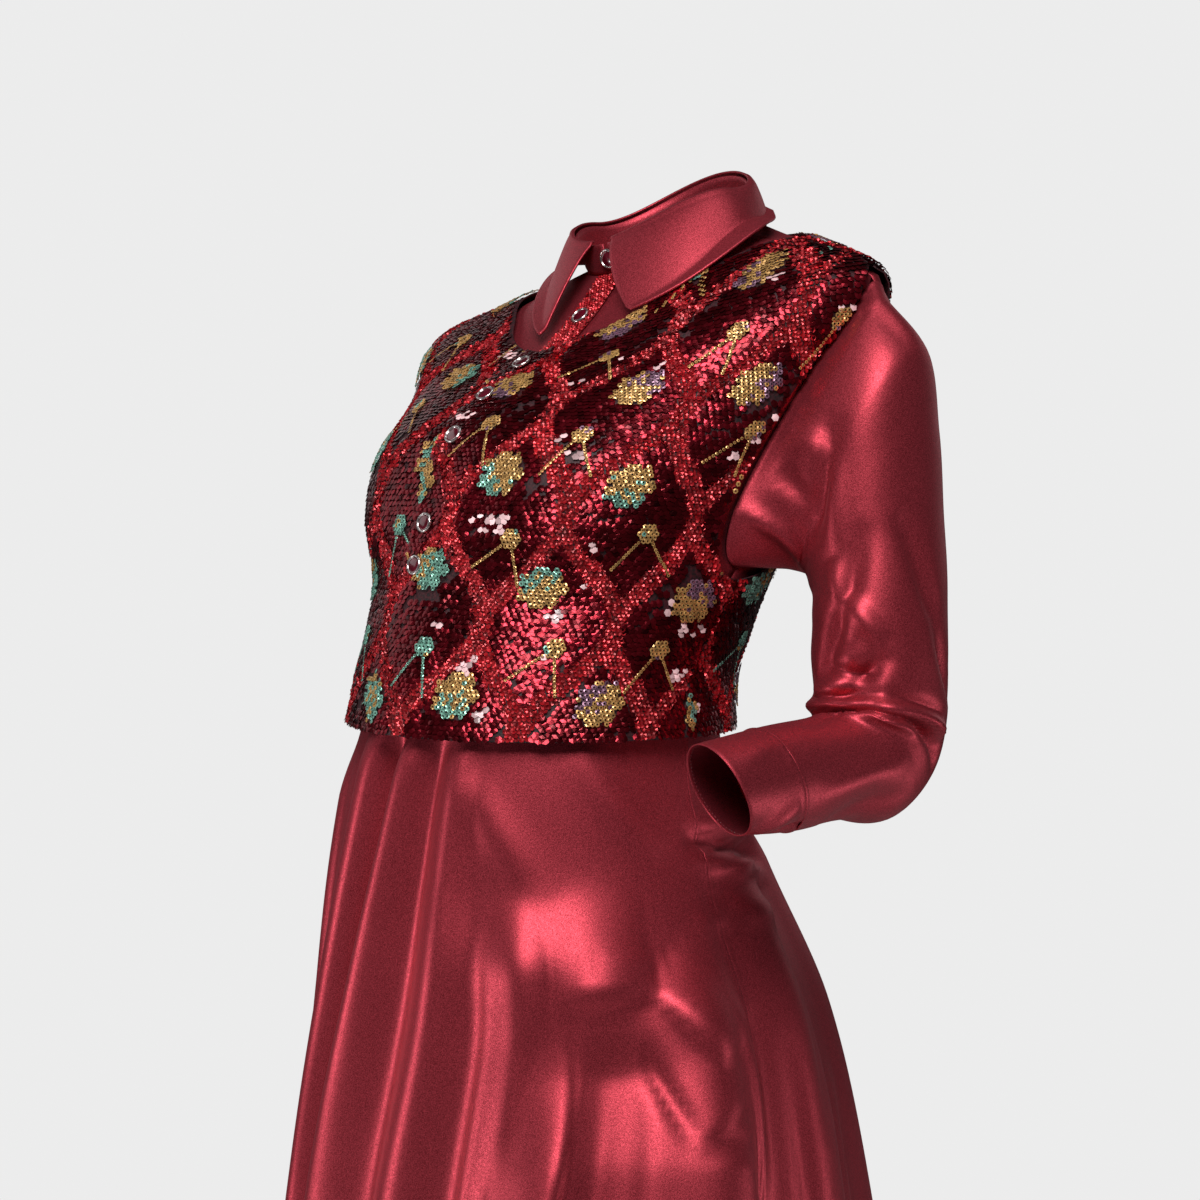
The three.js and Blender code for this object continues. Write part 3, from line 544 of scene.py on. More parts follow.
def cloth(name, grid, mat, slot, node, thick=1.1, closed=False, turn=1, seams=(), lift=None, **more):
    """A closed shell of cloth on a grid of outer points, with soft edges and a groove along each seam.

    Gives the piece, and its outer points and outward directions.
    """
    normals = grid_normals(grid, closed, turn)
    sunk = np.zeros(grid.shape[:-1])
    for edge in seams:
        sunk += SEAM_GROOVE["deep"] * np.exp(-((edge_distance(grid, edge) / SEAM_GROOVE["wide"]) ** 2))
    if lift is not None:
        sunk -= lift
    outer = grid - normals * sunk[..., None]
    normals = grid_normals(outer, closed, turn)
    inner = outer - normals * thick
    rows, columns = grid.shape[:2]
    number = np.arange(rows * columns).reshape(rows, columns)
    count = rows * columns
    ring_of = np.concatenate([number, number[:, :1]], 1) if closed else number
    quads = np.stack([ring_of[:-1, :-1], ring_of[:-1, 1:], ring_of[1:, 1:], ring_of[1:, :-1]], -1)
    quads = quads.reshape(-1, 4)
    faces = [quads, quads[:, ::-1] + count]
    border = [number[0], number[-1][::-1]] if closed else [
        np.concatenate([number[0], number[1:, -1], number[-1, -2::-1], number[-2:0:-1, 0]])]
    total = 2 * count
    flat_outer, flat_inner, flat_normals = (of.reshape(-1, 3) for of in (outer, inner, normals))
    points = [flat_outer, flat_inner]
    for loop in border:
        after = np.roll(loop, -1)
        before = np.roll(loop, 1)
        way = flat_outer[after] - flat_outer[before]
        away = unit(np.cross(way, flat_normals[loop]) * turn)
        middle = (flat_outer[loop] + flat_inner[loop]) / 2 + away * thick * 0.3
        new = total + np.arange(len(loop))
        total += len(loop)
        points.append(middle)
        faces.append(np.stack([loop, new, np.roll(new, -1), after], -1))
        faces.append(np.stack([new, loop + count, after + count, np.roll(new, -1)], -1))
    faces = np.concatenate(faces)
    if turn < 0:
        faces = faces[:, ::-1]
    return piece(name, np.concatenate(points), faces, [mat], slot, [node], **more), outer, normals


def shares(across, down):
    return np.meshgrid(np.linspace(0, 1, across + 1), np.linspace(0, 1, down + 1))


def lattice(across, down, place, surface):
    """A grid of points on a surface. place gives the surface's own coordinates from shares of 0 to 1."""
    return surface(*place(*shares(across, down)))


# ---------------------------------------------------------------- the dress
def torso_panel(name, middle, reach, across):
    def place(u, v):
        return middle + (90 - armhole_edge(DRESS_ARMHOLE, reach, v)) * (2 * u - 1), v
    grid = lattice(across, 60, place, torso)
    return cloth(name + "_cloth", grid, SATIN, "satin", name, seams=("first", "last", "high"))


def fallen_in(strand, down):
    """How far the cloth falls in below the left hip, right of the fold that hangs from it."""
    edge = np.interp(down, SAG["down"], SAG["edge"])
    depth = np.interp(down, SAG["down"], SAG["depth"])
    inside = ramp(0, SAG["left"], strand - edge) * ramp(0, SAG["right"], SAG["end"] - strand)
    return depth * inside


def skirt_panel(name, start, end, across):
    def place(u, v):
        return start + (end - start) * u, WAIST_DOWN + (HEM_DOWN - WAIST_DOWN) * v**1.1
    grid = lattice(across, SKIRT_ROWS, place, skirt)
    lift = creased(grid, False, 1, skirt, SKIRT_CREASES) - fallen_in(*place(*shares(across, SKIRT_ROWS)))
    return cloth(name + "_cloth", grid, SATIN, "satin", name, seams=("first", "last"), lift=lift)


def sleeve_pieces(word, side, creases, across, down):
    def face(turn, at):
        return sleeve(turn, at, side)
    turns = np.arange(across) * 360 / across
    made = []
    for part, start, end, rows, seams in (("sleeve", 0.0, CUFF_AT[side], down, ("low", "high")),
                                          ("cuff", CUFF_AT[side], 1.0, CUFF_ROWS, ("low",))):
        grid = face(*np.meshgrid(turns, np.linspace(start, end, rows)))
        name = f"{part}_{word}"
        lift = creased(grid, True, side, face, creases[part])
        made.append(cloth(name + "_cloth", grid, SATIN, "satin", name, closed=True, turn=side,
                          seams=seams, lift=lift))
    return made


def collar_pieces():
    span = 360 - 2 * STAND_OPENING
    grid = lattice(120, 8, lambda u, v: (FRONT + STAND_OPENING + span * u, v), stand)
    made = [cloth("collar_stand_cloth", grid, SATIN, "satin", "collar_stand", thick=1.6, seams=("low",))]

    def place(u, v):
        left = LEAF_FRONT["fold"] + (LEAF_FRONT["left"] - LEAF_FRONT["fold"]) * v
        right = LEAF_FRONT["fold"] + (LEAF_FRONT["right"] - LEAF_FRONT["fold"]) * v
        return FRONT + left + (360 - left - right) * u, v
    grid = lattice(170, 30, place, leaf)
    made.append(cloth("collar_leaf_cloth", grid, SATIN, "satin", "collar_leaf", thick=1.8))
    return made


STITCH = {"length": 2.3, "step": 3.1, "wide": 0.42}
STITCH_IN = 4.5  # from an edge to its row of stitches


def between(marks, far, values):
    return np.stack([np.interp(marks, far, values[:, k]) for k in range(3)], -1)


def copies(shape, faces, spots, size, *axes):
    """One shape set at many spots along their own three axes, as points and faces."""
    points = sum(shape[None, :, k:k + 1] * axis[:, None] for k, axis in enumerate(axes))
    points = spots[:, None] + size * points
    numbers = faces[None] + (np.arange(len(spots)) * len(shape))[:, None, None]
    return points.reshape(-1, 3), numbers.reshape(-1, faces.shape[1])


def stitches(name, paths):
    """Rows of small raised stitches along paths of points with outward directions."""
    length, step, wide = STITCH.values()
    spots, ways, outs = [], [], []
    for points, normals in paths:
        far = walked(points)
        marks = np.arange(step / 2, far[-1] - step / 2, step)
        at = between(marks, far, points)
        out = between(marks, far, normals)
        spots.append(at + out * 0.1)
        ways.append(between(marks + 0.5, far, points) - at)
        outs.append(out)
    ways, outs = unit(np.concatenate(ways)), unit(np.concatenate(outs))
    shape = np.array([[-length / 2, 0, -0.1], [0, wide, 0], [0, 0, wide], [0, -wide, 0], [0, 0, -wide],
                      [length / 2, 0, -0.1]])
    faces = np.array([[0, 2, 1], [0, 3, 2], [0, 4, 3], [0, 1, 4],
                      [5, 1, 2], [5, 2, 3], [5, 3, 4], [5, 4, 1]])
    points, numbers = copies(shape, faces, np.concatenate(spots), 1, ways, np.cross(ways, outs), outs)
    return piece(name, points, numbers, [THREAD], "satin")


def circle(sides):
    turn = np.arange(sides) * 2 * np.pi / sides
    return np.stack([np.cos(turn), np.sin(turn), np.zeros(sides)], -1)


def strip(low, high, sides):
    """Triangles between two rings of points, from the numbers of their first points."""
    around = np.arange(sides)
    after = np.roll(around, -1)
    return [np.stack([low + around, low + after, high + after], -1),
            np.stack([low + around, high + after, high + around], -1)]


def fan(middle, start, sides):
    """Triangles between a ring of points and one in its middle."""
    around = start + np.arange(sides)
    return np.stack([around, np.roll(around, -1), np.full(sides, middle)], -1)


# A button's radius and height, from the middle of its back to the middle of its front.
BUTTON_PROFILE = np.array([[0, 0.1], [3, 0.1], [6.4, 0.1], [7.2, 0.45], [7.5, 1.1], [7.4, 1.8],
                           [7.0, 2.35], [6.5, 2.6], [6.0, 2.4], [5.75, 1.9], [5.6, 1.6], [4.6, 1.75],
                           [2.6, 1.95], [0, 2.0]])
RIM_TOP, MIDDLE_RADIUS, BUTTON_SIDES = 5, 5.7, 44


def button(name, surface, at, step, rise):
    """A round button: a bright rim round a dark, slightly domed middle."""
    front, at = np.array(float(FRONT)), np.array(at)
    out = square_out(surface, front, at, 0.5, step)
    across = unit(np.cross(out, [0, 0, 1.0]))
    axes = np.array([across, np.cross(out, across), out])
    rings = [circle(BUTTON_SIDES) * radius + [0, 0, height] for radius, height in BUTTON_PROFILE[1:-1]]
    back, top = ([[0, 0, BUTTON_PROFILE[k, 1]]] for k in (0, -1))
    points = surface(front, at) + out * rise + np.concatenate([back, *rings, top]) @ axes
    faces, index = [], []
    for k in range(len(rings) - 1):
        start = 1 + k * BUTTON_SIDES
        faces += strip(start, start + BUTTON_SIDES, BUTTON_SIDES)
        middle = k > RIM_TOP and BUTTON_PROFILE[k + 1, 0] < MIDDLE_RADIUS
        index += [np.full(2 * BUTTON_SIDES, int(middle))]
    last, last_ring = len(points) - 1, 1 + (len(rings) - 1) * BUTTON_SIDES
    faces += [fan(0, 1, BUTTON_SIDES)[:, ::-1], fan(last, last_ring, BUTTON_SIDES)]
    index += [np.zeros(BUTTON_SIDES), np.ones(BUTTON_SIDES)]
    faces = np.concatenate(faces)
    if np.sum(points[faces[:, 0]] * np.cross(points[faces[:, 1]], points[faces[:, 2]])) < 0:
        faces = faces[:, ::-1]
    return piece(name + "_shell", points, faces, [BUTTON_RIM, BUTTON_MIDDLE], "button", [name],
                 index=np.concatenate(index))


# ---------------------------------------------------------------- the vest
class Cut:
    """A face with its own flat coordinates: x round it from a middle line and y up it, in mm."""

    def __init__(self, surface, middle, start, end, inside, low=VEST_HEM_AT, high=0.955):
        self.surface, self.inside = surface, inside
        self.angles = np.arange(start, end + 0.01, 0.75)
        self.ats = np.linspace(low, high, 150)
        points = surface(*np.meshgrid(self.angles, self.ats))
        far = walked(points, 1)
        self.x = far - np.array([np.interp(middle, self.angles, row) for row in far])[:, None]
        self.y = walked(points).mean(1)

    def place(self, x, y):
        """Angle and height of flat points, and which of them are on the panel."""
        at = np.interp(y, self.y, self.ats)
        level = np.clip(np.searchsorted(self.ats, at), 0, len(self.ats) - 1)
        angle = np.empty_like(at)
        on = np.zeros(len(at), bool)
        for k in np.unique(level):
            these = level == k
            angle[these] = np.interp(x[these], self.x[k], self.angles)
            on[these] = (x[these] > self.x[k, 0]) & (x[these] < self.x[k, -1])
        on &= (y >= 0) & (y <= self.y[-1])
        return angle, at, on & self.inside(angle, at)

    def field(self, gap, row_gap, jitter):
        """Flat points of even rows, each set off by half a gap."""
        ys = np.arange(row_gap / 2, self.y[-1], row_gap)
        xs = np.arange(self.x.min(), self.x.max(), gap)
        x, y = np.meshgrid(xs, ys)
        x = x + np.where(np.arange(len(ys)) % 2, gap / 2, 0)[:, None]
        x, y = x.ravel(), y.ravel()
        return x + RNG.normal(0, jitter, len(x)), y + RNG.normal(0, jitter, len(y))


def flakes(name, cut, x, y, size, tint, lift, tilt, wobble, flake, mat):
    """Many small sequins as one mesh, at flat points of a panel. flake is one's corners and faces."""
    shape, faces = flake
    angle, at, on = cut.place(x, y)
    angle, at, size, tint = angle[on], at[on], size[on], tint[on]
    points = cut.surface(angle, at)
    out = square_out(cut.surface, angle, at, *SMALL_STEP)
    across = unit(cut.surface(angle + 0.5, at) - points)
    up = np.cross(out, across)
    up *= np.sign(up[:, 2:3])
    lean = np.radians(tilt + RNG.normal(0, wobble, len(points)))[:, None]
    sway = np.radians(RNG.normal(0, wobble, len(points)))[:, None]
    facing = unit(out + up * np.tan(lean) + across * np.tan(sway))
    spin = RNG.uniform(0, 2 * np.pi, len(points))[:, None]
    first = unit(np.cross(facing, across * np.cos(spin) + up * np.sin(spin)))
    points, numbers = copies(shape, faces, points + out * lift, size[:, None, None],
                             first, np.cross(facing, first), facing)
    return piece(name, points, numbers, [mat], "sequin_cloth", tint=np.repeat(tint, len(shape), 0),
                 smooth_faces=False)


def disc(sides, dish, thick):
    """A closed flake: a rim of corners round an upper and a lower middle."""
    shape = np.concatenate([circle(sides), [[0, 0, -dish], [0, 0, -dish - thick]]])
    return shape, np.concatenate([fan(sides, 0, sides), fan(sides + 1, 0, sides)[:, [1, 0, 2]]])


def washer(sides, hole, thick):
    """A closed flat ring."""
    rim = circle(sides)
    lift = np.array([0, 0, thick / 2])
    shape = np.concatenate([rim, rim * [hole, hole, 1] + lift, rim * [hole, hole, 1] - lift])
    rims = ((0, sides), (2 * sides, 0), (sides, 2 * sides))
    return shape, np.concatenate([face for low, high in rims for face in strip(low, high, sides)])


WEB = {"wide": 47, "tall": 84, "half": 8.0}  # the lattice of bead bands, in mm


def web_distance(x, y):
    """How far a flat point lies from the nearest band's middle line."""
    wave = np.cos(np.pi * y / WEB["tall"])
    slope = np.pi / WEB["tall"] * WEB["wide"] / 2 * np.abs(np.sin(np.pi * y / WEB["tall"]))
    nearest = np.full_like(x, 1e9)
    first = np.floor(x / WEB["wide"])
    for k in range(-2, 4):
        line = first + k
        middle = line * WEB["wide"] + np.where(line % 2, -1, 1) * WEB["wide"] / 2 * wave
        nearest = np.minimum(nearest, np.abs(x - middle) / np.sqrt(1 + slope**2))
    return nearest


def patchy(x, y, scale, shift):
    """Slow wavy noise from -1 to 1."""
    return (np.sin(x / scale + shift) * np.cos(y / scale * 1.3 - shift * 2)
            + 0.6 * np.sin(x / scale * 2.3 - y / scale * 1.7 + shift * 3)) / 1.6


def packed(radius, gap, reach):
    """Flat points of a close-packed disc or flower."""
    steps = int(radius / gap) + 2
    i, j = np.meshgrid(*[np.arange(-steps, steps + 1)] * 2)
    x = (i + 0.5 * (j % 2)).ravel() * gap
    y = j.ravel() * gap * 0.87
    keep = reach(x, y)
    return x[keep], y[keep]


def in_ball(x, y):
    return x * x + y * y < 7.8**2


def in_flower(x, y):
    """Seven round petals round a middle."""
    turn = (np.arctan2(y, x) * 7 / (2 * np.pi) + 0.5) % 1 - 0.5
    far = np.hypot(x, y)
    x, y = far * np.array(cos_sin(turn * 360 / 7))
    return (far < 12) | (np.hypot(x - 12.5, y) < 5.4)


# The fourth colour, a pale pinkish white, is a painted highlight given to clusters of flat sequins.
GOLD, TEAL, PLUM, PAINTED_GLINT, RED_CUP, RED_FLAT = np.array([
    [0.85, 0.48, 0.16], [0.3, 0.66, 0.52], [0.34, 0.17, 0.26], [0.92, 0.6, 0.62], [0.46, 0.012, 0.02],
    [0.2, 0.006, 0.014]])
# Motifs: which flat points are inside, gaps between rings, size, share of a second colour, clear radius.
FLOWER = {"inside": in_flower, "gap": 3.4, "radius": 19, "blend": 0.35, "clear": 18}
BALL = {"inside": in_ball, "gap": 3.1, "radius": 9, "blend": 0.12, "clear": 8.8}
RING_RADIUS, STEM_RADIUS = 2.05, 1.3
STEM = np.arange(9, 37, 2.5)


def motifs(cut, teal_share_with_painted_iridescence):
    """Flowers, and balls with two stems, one of each to every second cell of the web.

    Gives flat points, colours and sizes of their rings, and discs that other sequins keep clear of.
    """
    parts, discs = [], []
    for k in range(int(cut.x.min() / WEB["wide"]) - 2, int(cut.x.max() / WEB["wide"]) + 2):
        for m in range(-1, int(cut.y[-1] / WEB["tall"]) + 2):
            if (k + m) % 2 == 0:
                continue
            middle = np.array([(k + 0.5) * WEB["wide"], m * WEB["tall"]])
            flip = 1 if RNG.uniform() < 0.5 else -1
            flower = middle + [flip * RNG.uniform(4, 12), RNG.uniform(20, 40)]
            ball = middle + [-flip * RNG.uniform(6, 16), -RNG.uniform(10, 24)]
            # A higher share gives more teal motifs: partly the rings' own mix of colours, partly a
            # painted iridescent shift that is set per panel.
            teal = RNG.uniform() < teal_share_with_painted_iridescence
            mostly, other = (TEAL, GOLD) if teal else (GOLD, PLUM if RNG.uniform() < 0.6 else TEAL)
            for spot, kind in ((flower, FLOWER), (ball, BALL)):
                px, py = packed(kind["radius"], kind["gap"], kind["inside"])
                change = RNG.uniform(0, 2 * np.pi)
                lean = px * np.cos(change) + py * np.sin(change)
                pick = (lean / kind["radius"] + RNG.normal(0, 0.35, len(px))) > 1 - 2 * kind["blend"]
                tint = np.where(pick[:, None], other, mostly) * RNG.uniform(0.55, 1.15, (len(px), 1))
                parts.append((px + spot[0], py + spot[1], tint, np.full(len(px), RING_RADIUS)))
                discs.append((*spot, kind["clear"]))
            for way in (-1, 1):
                heading = math.radians(-90 + way * RNG.uniform(18, 42) + flip * 12)
                parts.append((ball[0] + STEM * math.cos(heading), ball[1] + STEM * math.sin(heading),
                              mostly * RNG.uniform(0.55, 1.1, (len(STEM), 1)),
                              np.full(len(STEM), STEM_RADIUS)))
    return *map(np.concatenate, zip(*parts)), discs


def sequins(word, cut, teal_share_with_painted_iridescence, painted_glint_groups):
    """All that is sewn on a vest panel: rings in motifs, cups in bands and flat sequins in the cells, a
    few painted pale as highlights.
    """
    x, y, tint, size, discs = motifs(cut, teal_share_with_painted_iridescence)
    made = [flakes(f"vest_{word}_rings", cut, x, y, size, tint, 2.3, 6, 9, washer(6, 0.42, 0.3), RINGS)]

    def field(gap, row_gap, jitter, in_band):
        """Flat points of a field that lie in the web's bands or its cells, clear of the motifs."""
        x, y = cut.field(gap, row_gap, jitter)
        half = WEB["half"] + 1.6 * patchy(x, y, 23, 1.0)
        if in_band:
            keep = web_distance(x, y) < half
        else:
            bare = patchy(x, y, 31, 4.0) + 0.5 * patchy(x, y, 7, 2.0) + RNG.normal(0, 0.35, len(x)) > 0.85
            keep = (web_distance(x, y) > half - 1.2) & ~bare
        for cx, cy, radius in discs:
            keep &= (x - cx) ** 2 + (y - cy) ** 2 > (radius - 1.5) ** 2
        return x[keep], y[keep]

    x, y = field(3.3, 2.9, 0.25, True)
    tone = np.clip(RNG.normal(1, 0.3, len(x)), 0.35, 1.9) * (1 + 0.2 * patchy(x, y, 40, 2.0))
    made.append(flakes(f"vest_{word}_cups", cut, x, y, RNG.uniform(1.7, 2.1, len(x)),
                       RED_CUP * tone[:, None], 1.3, 5, 13, disc(6, 0.45, 0.25), CUPS))

    x, y = field(4.7, 3.5, 0.3, False)
    tone = np.clip(RNG.normal(1, 0.32, len(x)), 0.25, 2.2) * (1 + 0.35 * patchy(x, y, 35, 0.3))
    # Small clusters of flat sequins take the pale colour instead of red: painted highlights in place of
    # light glinting off them.
    spots = np.column_stack([RNG.uniform(cut.x.min(), cut.x.max(), painted_glint_groups),
                             RNG.uniform(0, cut.y[-1], painted_glint_groups)])
    painted_glint_mask = np.zeros(len(x), bool)
    for sx, sy in spots:
        reach = RNG.uniform(4, 12)
        painted_glint_mask |= (np.hypot((x - sx), (y - sy) * 1.6) < reach) & (RNG.uniform(0, 1, len(x)) < 0.6)
    size = RNG.uniform(2.8, 3.2, len(x))
    for label, these, colour, mat in (("flats", ~painted_glint_mask, RED_FLAT, FLAKES), ("painted_glints", painted_glint_mask, PAINTED_GLINT, PAINTED_GLINTS)):
        made.append(flakes(f"vest_{word}_{label}", cut, x[these], y[these], size[these],
                           colour * tone[these, None], 1.0, 13, 5, disc(6, -0.12, 0.16), mat))
    return made


def vest_place(first, last):
    """Where a vest panel's grid lies between two edges: (angle, its armhole's reach or 0, sign)."""
    def place(u, v):
        def height(angle):
            return VEST_HEM_AT + (vest_top(angle) - VEST_HEM_AT) * v

        def edge(line, reach, sign):
            angle = np.full_like(v, float(line))
            if reach:
                for _ in range(12):
                    angle = line + sign * armhole_edge(VEST_ARMHOLE, reach, height(angle))
            return angle
        start, end = edge(*first), edge(*last)
        angle = start + (end - start) * u
        return angle, height(angle)
    return place


def on_panel(first, last, bare_edge, bare_top):
    """Tells which points of a face lie on a vest panel, clear of its armholes."""
    def inside(angle, at):
        on = (at < vest_top(angle) - bare_top) & (angle > first[0] + bare_edge) & (angle < last[0])
        height = (at - VEST_ARMHOLE["middle"]) / VEST_ARMHOLE["half"]
        for line, reach, _ in (first, last):
            if reach:
                on &= height**2 + (apart(angle, line) / reach) ** 2 > 1.0
        return on
    return inside


AHEAD, BEHIND = VEST_ARMHOLE["ahead"], VEST_ARMHOLE["behind"]
LAP_UNDER, LAP_OVER = FRONT + VEST_LAP_ANGLE, FRONT - VEST_LAP_ANGLE
# The share of teal is higher on the right front and the back, which turn away from the camera: the rings'
# real gold, teal and plum, with a painted iridescent shift by panel on top.
# Face, first and last edge, middle, bare degrees and bare top, share of teal (partly a painted iridescent
# shift), groups of painted highlights, steps across.
VEST_PANELS = {
    "front_right": (vest_under, (-180, AHEAD, 1), (LAP_UNDER, 0, 0), FRONT, 0, 0.003, 0.7, 6, 60),
    "front_left": (vest_over, (LAP_OVER, 0, 0), (0, AHEAD, -1), FRONT, 0.3, 0.003, 0.12, 44, 60),
    "back": (vest_under, (0, BEHIND, 1), (180, BEHIND, -1), -FRONT, 0, 0.004, 0.3, 20, 90),
}


def band(angle, at):
    """The outer face of the placket's band, on the dress."""
    return off_torso(angle, at, 1.8)


def placket():
    """The band and its beads."""
    low, high = PLACKET_AT

    def half(at):
        return np.degrees(12 / along(TORSO, "width", at))

    def place(u, v):
        at = low + (high - low) * v
        return FRONT + half(at) * (2 * u - 1), at
    grid = lattice(8, 60, place, band)
    count = 2 * grid.shape[0] * grid.shape[1] + 2 * sum(grid.shape[:2]) - 4
    made = cloth("placket_cloth", grid, CUPS, "bead_band", "placket", thick=1.0,
                 tint=np.tile(RED_CUP * 0.5, (count, 1)))

    def inside(angle, at):
        return (np.abs(apart(angle, FRONT)) < half(at)) & (at > low)
    cut = Cut(band, FRONT, FRONT - 15, FRONT + 15, inside, low, high)
    x, y = cut.field(2.6, 2.3, 0.2)
    tone = np.clip(RNG.normal(1.15, 0.3, len(x)), 0.4, 2)
    beads = flakes("placket_beads", cut, x, y, RNG.uniform(1.3, 1.55, len(x)), RED_CUP * tone[:, None],
                   0.7, 0, 10, disc(6, -0.7, 0.9), CUPS)
    return made


# ---------------------------------------------------------------- making
# The cloth that falls in below the left hip: by height down, the strand of its left edge and its depth,
# then how many strands it takes to sink in at the left and at the right, and the strand where it ends.
SAG = {"down": [505, 560, 640, 720, 900, 1250], "edge": [-38, -42, -46, -48, -50, -50],
       "depth": [0, 12, 30, 38, 28, 0], "left": 9, "right": 20, "end": 10}
# Rows of creases: a line on the piece's face from (a0, b0) to (a1, b1), the soft widths on its right and
# left, and the height. On the skirt these are strands and depths, on a sleeve turns and places along it.
SKIRT_CREASES = [
    (-50, 470, -54, 1250, 8, 10, -6.1), (-42, 530, -49, 1250, 5, 14, 5.4),
    (-36.5, 522, -47, 1250, 30, 5, -10.8), (-38, 524, -17, 519, 5, 48, -10.8),
    (-19, 514, -5, 570, 6, 44, -9.5), (-21, 556, -11.5, 630, 6, 8, 5.4),
    (-12, 628, -2, 627, 4, 5, 4.7), (-11.5, 629, -0.5, 597, 5, 4, 4.1),
    (-29, 501, -13, 504, 4, 7, -2.7), (-2, 480, 12, 474, 5, 6, -3.4),
    (-29, 550, -30, 1000, 13, 13, 5.4), (-18, 575, -22, 1100, 12, 14, -5.4),
    (-60, 372, -38, 458, 13, 16, -4.1), (-30, 350, -8, 430, 12, 14, -3.4),
    (0, 418, 54, 448, 5, 6, 12.2), (2, 431, 52, 463, 4, 6, -8.1),
    (4, 404, 56, 431, 5, 4, -6.8), (2, 530, 9, 690, 8, 9, -8.1),
    (15, 560, 20, 800, 9, 9, 5.4), (46, 600, 27, 760, 9, 9, -5.4),
    (30, 480, 24, 640, 14, 12, 4.1), (12, 470, 34, 480, 8, 8, -3.4),
    (70, 430, 75, 700, 12, 12, -5.4), (98, 410, 94, 640, 10, 14, 5.4),
    (122, 400, 118, 560, 12, 10, -5.4), (150, 420, 148, 640, 10, 12, 5.4),
    (-160, 400, -163, 620, 10, 12, -5.4), (-140, 380, -146, 600, 12, 10, 5.4),
    (-118, 360, -128, 800, 6, 10, 4.7),
]
LEFT_CREASES = {
    "sleeve": [
        (286, 0.085, 232, 0.155, 7, 9, 6.8), (290, 0.235, 236, 0.455, 7, 9, 6.8),
        (320, 0.25, 358, 0.37, 7, 8, 6), (352, 0.36, 390, 0.49, 6, 8, 6),
        (306, 0.39, 258, 0.47, 6, 8, 8.2), (270, 0.31, 302, 0.378, 6, 7, -4.5),
        (256, 0.244, 276, 0.372, 7, 8, -4.5), (246, 0.0, 206, 0.14, 5, 6, -7.5),
        (262, 0.03, 240, 0.13, 6, 8, 6), (275, 0.02, 262, 0.24, 8, 8, -4.5),
        (204, 0.5, 292, 0.47, 4, 6, -14), (284, 0.47, 378, 0.532, 4, 6, -12),
        (212, 0.515, 300, 0.478, 4, 4, 6), (240, 0.548, 330, 0.514, 4, 4, 7),
        (320, 0.51, 392, 0.58, 4, 5, 7), (250, 0.57, 345, 0.545, 4, 6, -8),
        (236, 0.42, 300, 0.43, 4, 6, 5), (222, 0.455, 286, 0.442, 4, 6, -6),
        (215, 0.486, 300, 0.452, 6, 5, 7.5), (300, 0.458, 368, 0.503, 6, 5, 6),
        (222, 0.53, 308, 0.492, 5, 5, 9), (300, 0.494, 385, 0.556, 5, 5, 7.5),
        (230, 0.552, 335, 0.53, 5, 7, -7.5), (150, 0.5, 60, 0.55, 9, 9, -6),
        (160, 0.46, 80, 0.47, 9, 9, 4.5), (140, 0.56, 70, 0.62, 9, 9, -4.5),
        (20, 0.62, 60, 0.8, 9, 10, 3.8), (350, 0.6, 376, 0.84, 9, 9, -3.8),
        (260, 0.62, 290, 0.8, 8, 8, 3.8), (120, 0.08, 110, 0.26, 9, 9, -6),
        (90, 0.1, 95, 0.34, 9, 9, 5.2), (140, 0.1, 160, 0.24, 8, 8, -6),
        (60, 0.2, 80, 0.42, 9, 9, -4.5), (338, 0.04, 345, 0.12, 8, 8, 3),
    ],
    "cuff": [
        (20, 0.88, 60, 0.99, 6, 8, -4.5), (50, 0.86, 80, 0.99, 5, 5, 4.5),
        (300, 0.87, 330, 0.99, 8, 8, -2.2),
    ],
}
RIGHT_CREASES = {
    "sleeve": [
        (250, 0.06, 235, 0.2, 7, 9, 6), (265, 0.05, 258, 0.26, 8, 8, -5.2),
        (120, 0.07, 112, 0.24, 9, 9, -6), (95, 0.1, 100, 0.3, 9, 9, 5.2),
        (290, 0.4, 240, 0.52, 7, 9, 5.2), (300, 0.48, 236, 0.58, 6, 8, -5.2),
        (60, 0.42, 130, 0.52, 7, 9, -5.2), (50, 0.5, 120, 0.6, 7, 9, 4.5),
        (310, 0.62, 270, 0.86, 9, 9, 3.8), (20, 0.6, 60, 0.84, 9, 9, -3.8),
        (180, 0.3, 190, 0.6, 9, 9, -4.5),
    ],
    "cuff": [
        (60, 0.9, 80, 1.0, 7, 7, -3),
    ],
}

sheets = {}  # each cloth piece, its outer points and its outward directions
sheets["bodice_front"] = torso_panel("bodice_front", FRONT, DRESS_ARMHOLE["ahead"], 64)
sheets["bodice_back"] = torso_panel("bodice_back", -FRONT, DRESS_ARMHOLE["behind"], 56)
sheets["skirt_front"] = skirt_panel("skirt_front", -180 - SIDE_SEAM, SIDE_SEAM, 210)
sheets["skirt_back"] = skirt_panel("skirt_back", SIDE_SEAM, 180 - SIDE_SEAM, 130)
sheets["sleeve_left"], sheets["cuff_left"] = sleeve_pieces("left", 1, LEFT_CREASES, 88, 150)
sheets["sleeve_right"], sheets["cuff_right"] = sleeve_pieces("right", -1, RIGHT_CREASES, 64, 100)
sheets["collar_stand"], sheets["collar_leaf"] = collar_pieces()
for word, (face, first, last, *_, across) in VEST_PANELS.items():
    grid = lattice(across, 90, vest_place(first, last), face)
    sheets["vest_" + word] = cloth(f"vest_{word}_ground", grid, GROUND, "sequin_cloth", "vest_" + word,
                                   thick=1.2)
for word, (face, first, last, middle, bare_edge, bare_top, teal, painted_glint_groups, _) in VEST_PANELS.items():
    cut = Cut(face, middle, first[0], last[0], on_panel(first, last, bare_edge, bare_top))
    sequins(word, cut, teal, painted_glint_groups)
sheets["placket"] = placket()
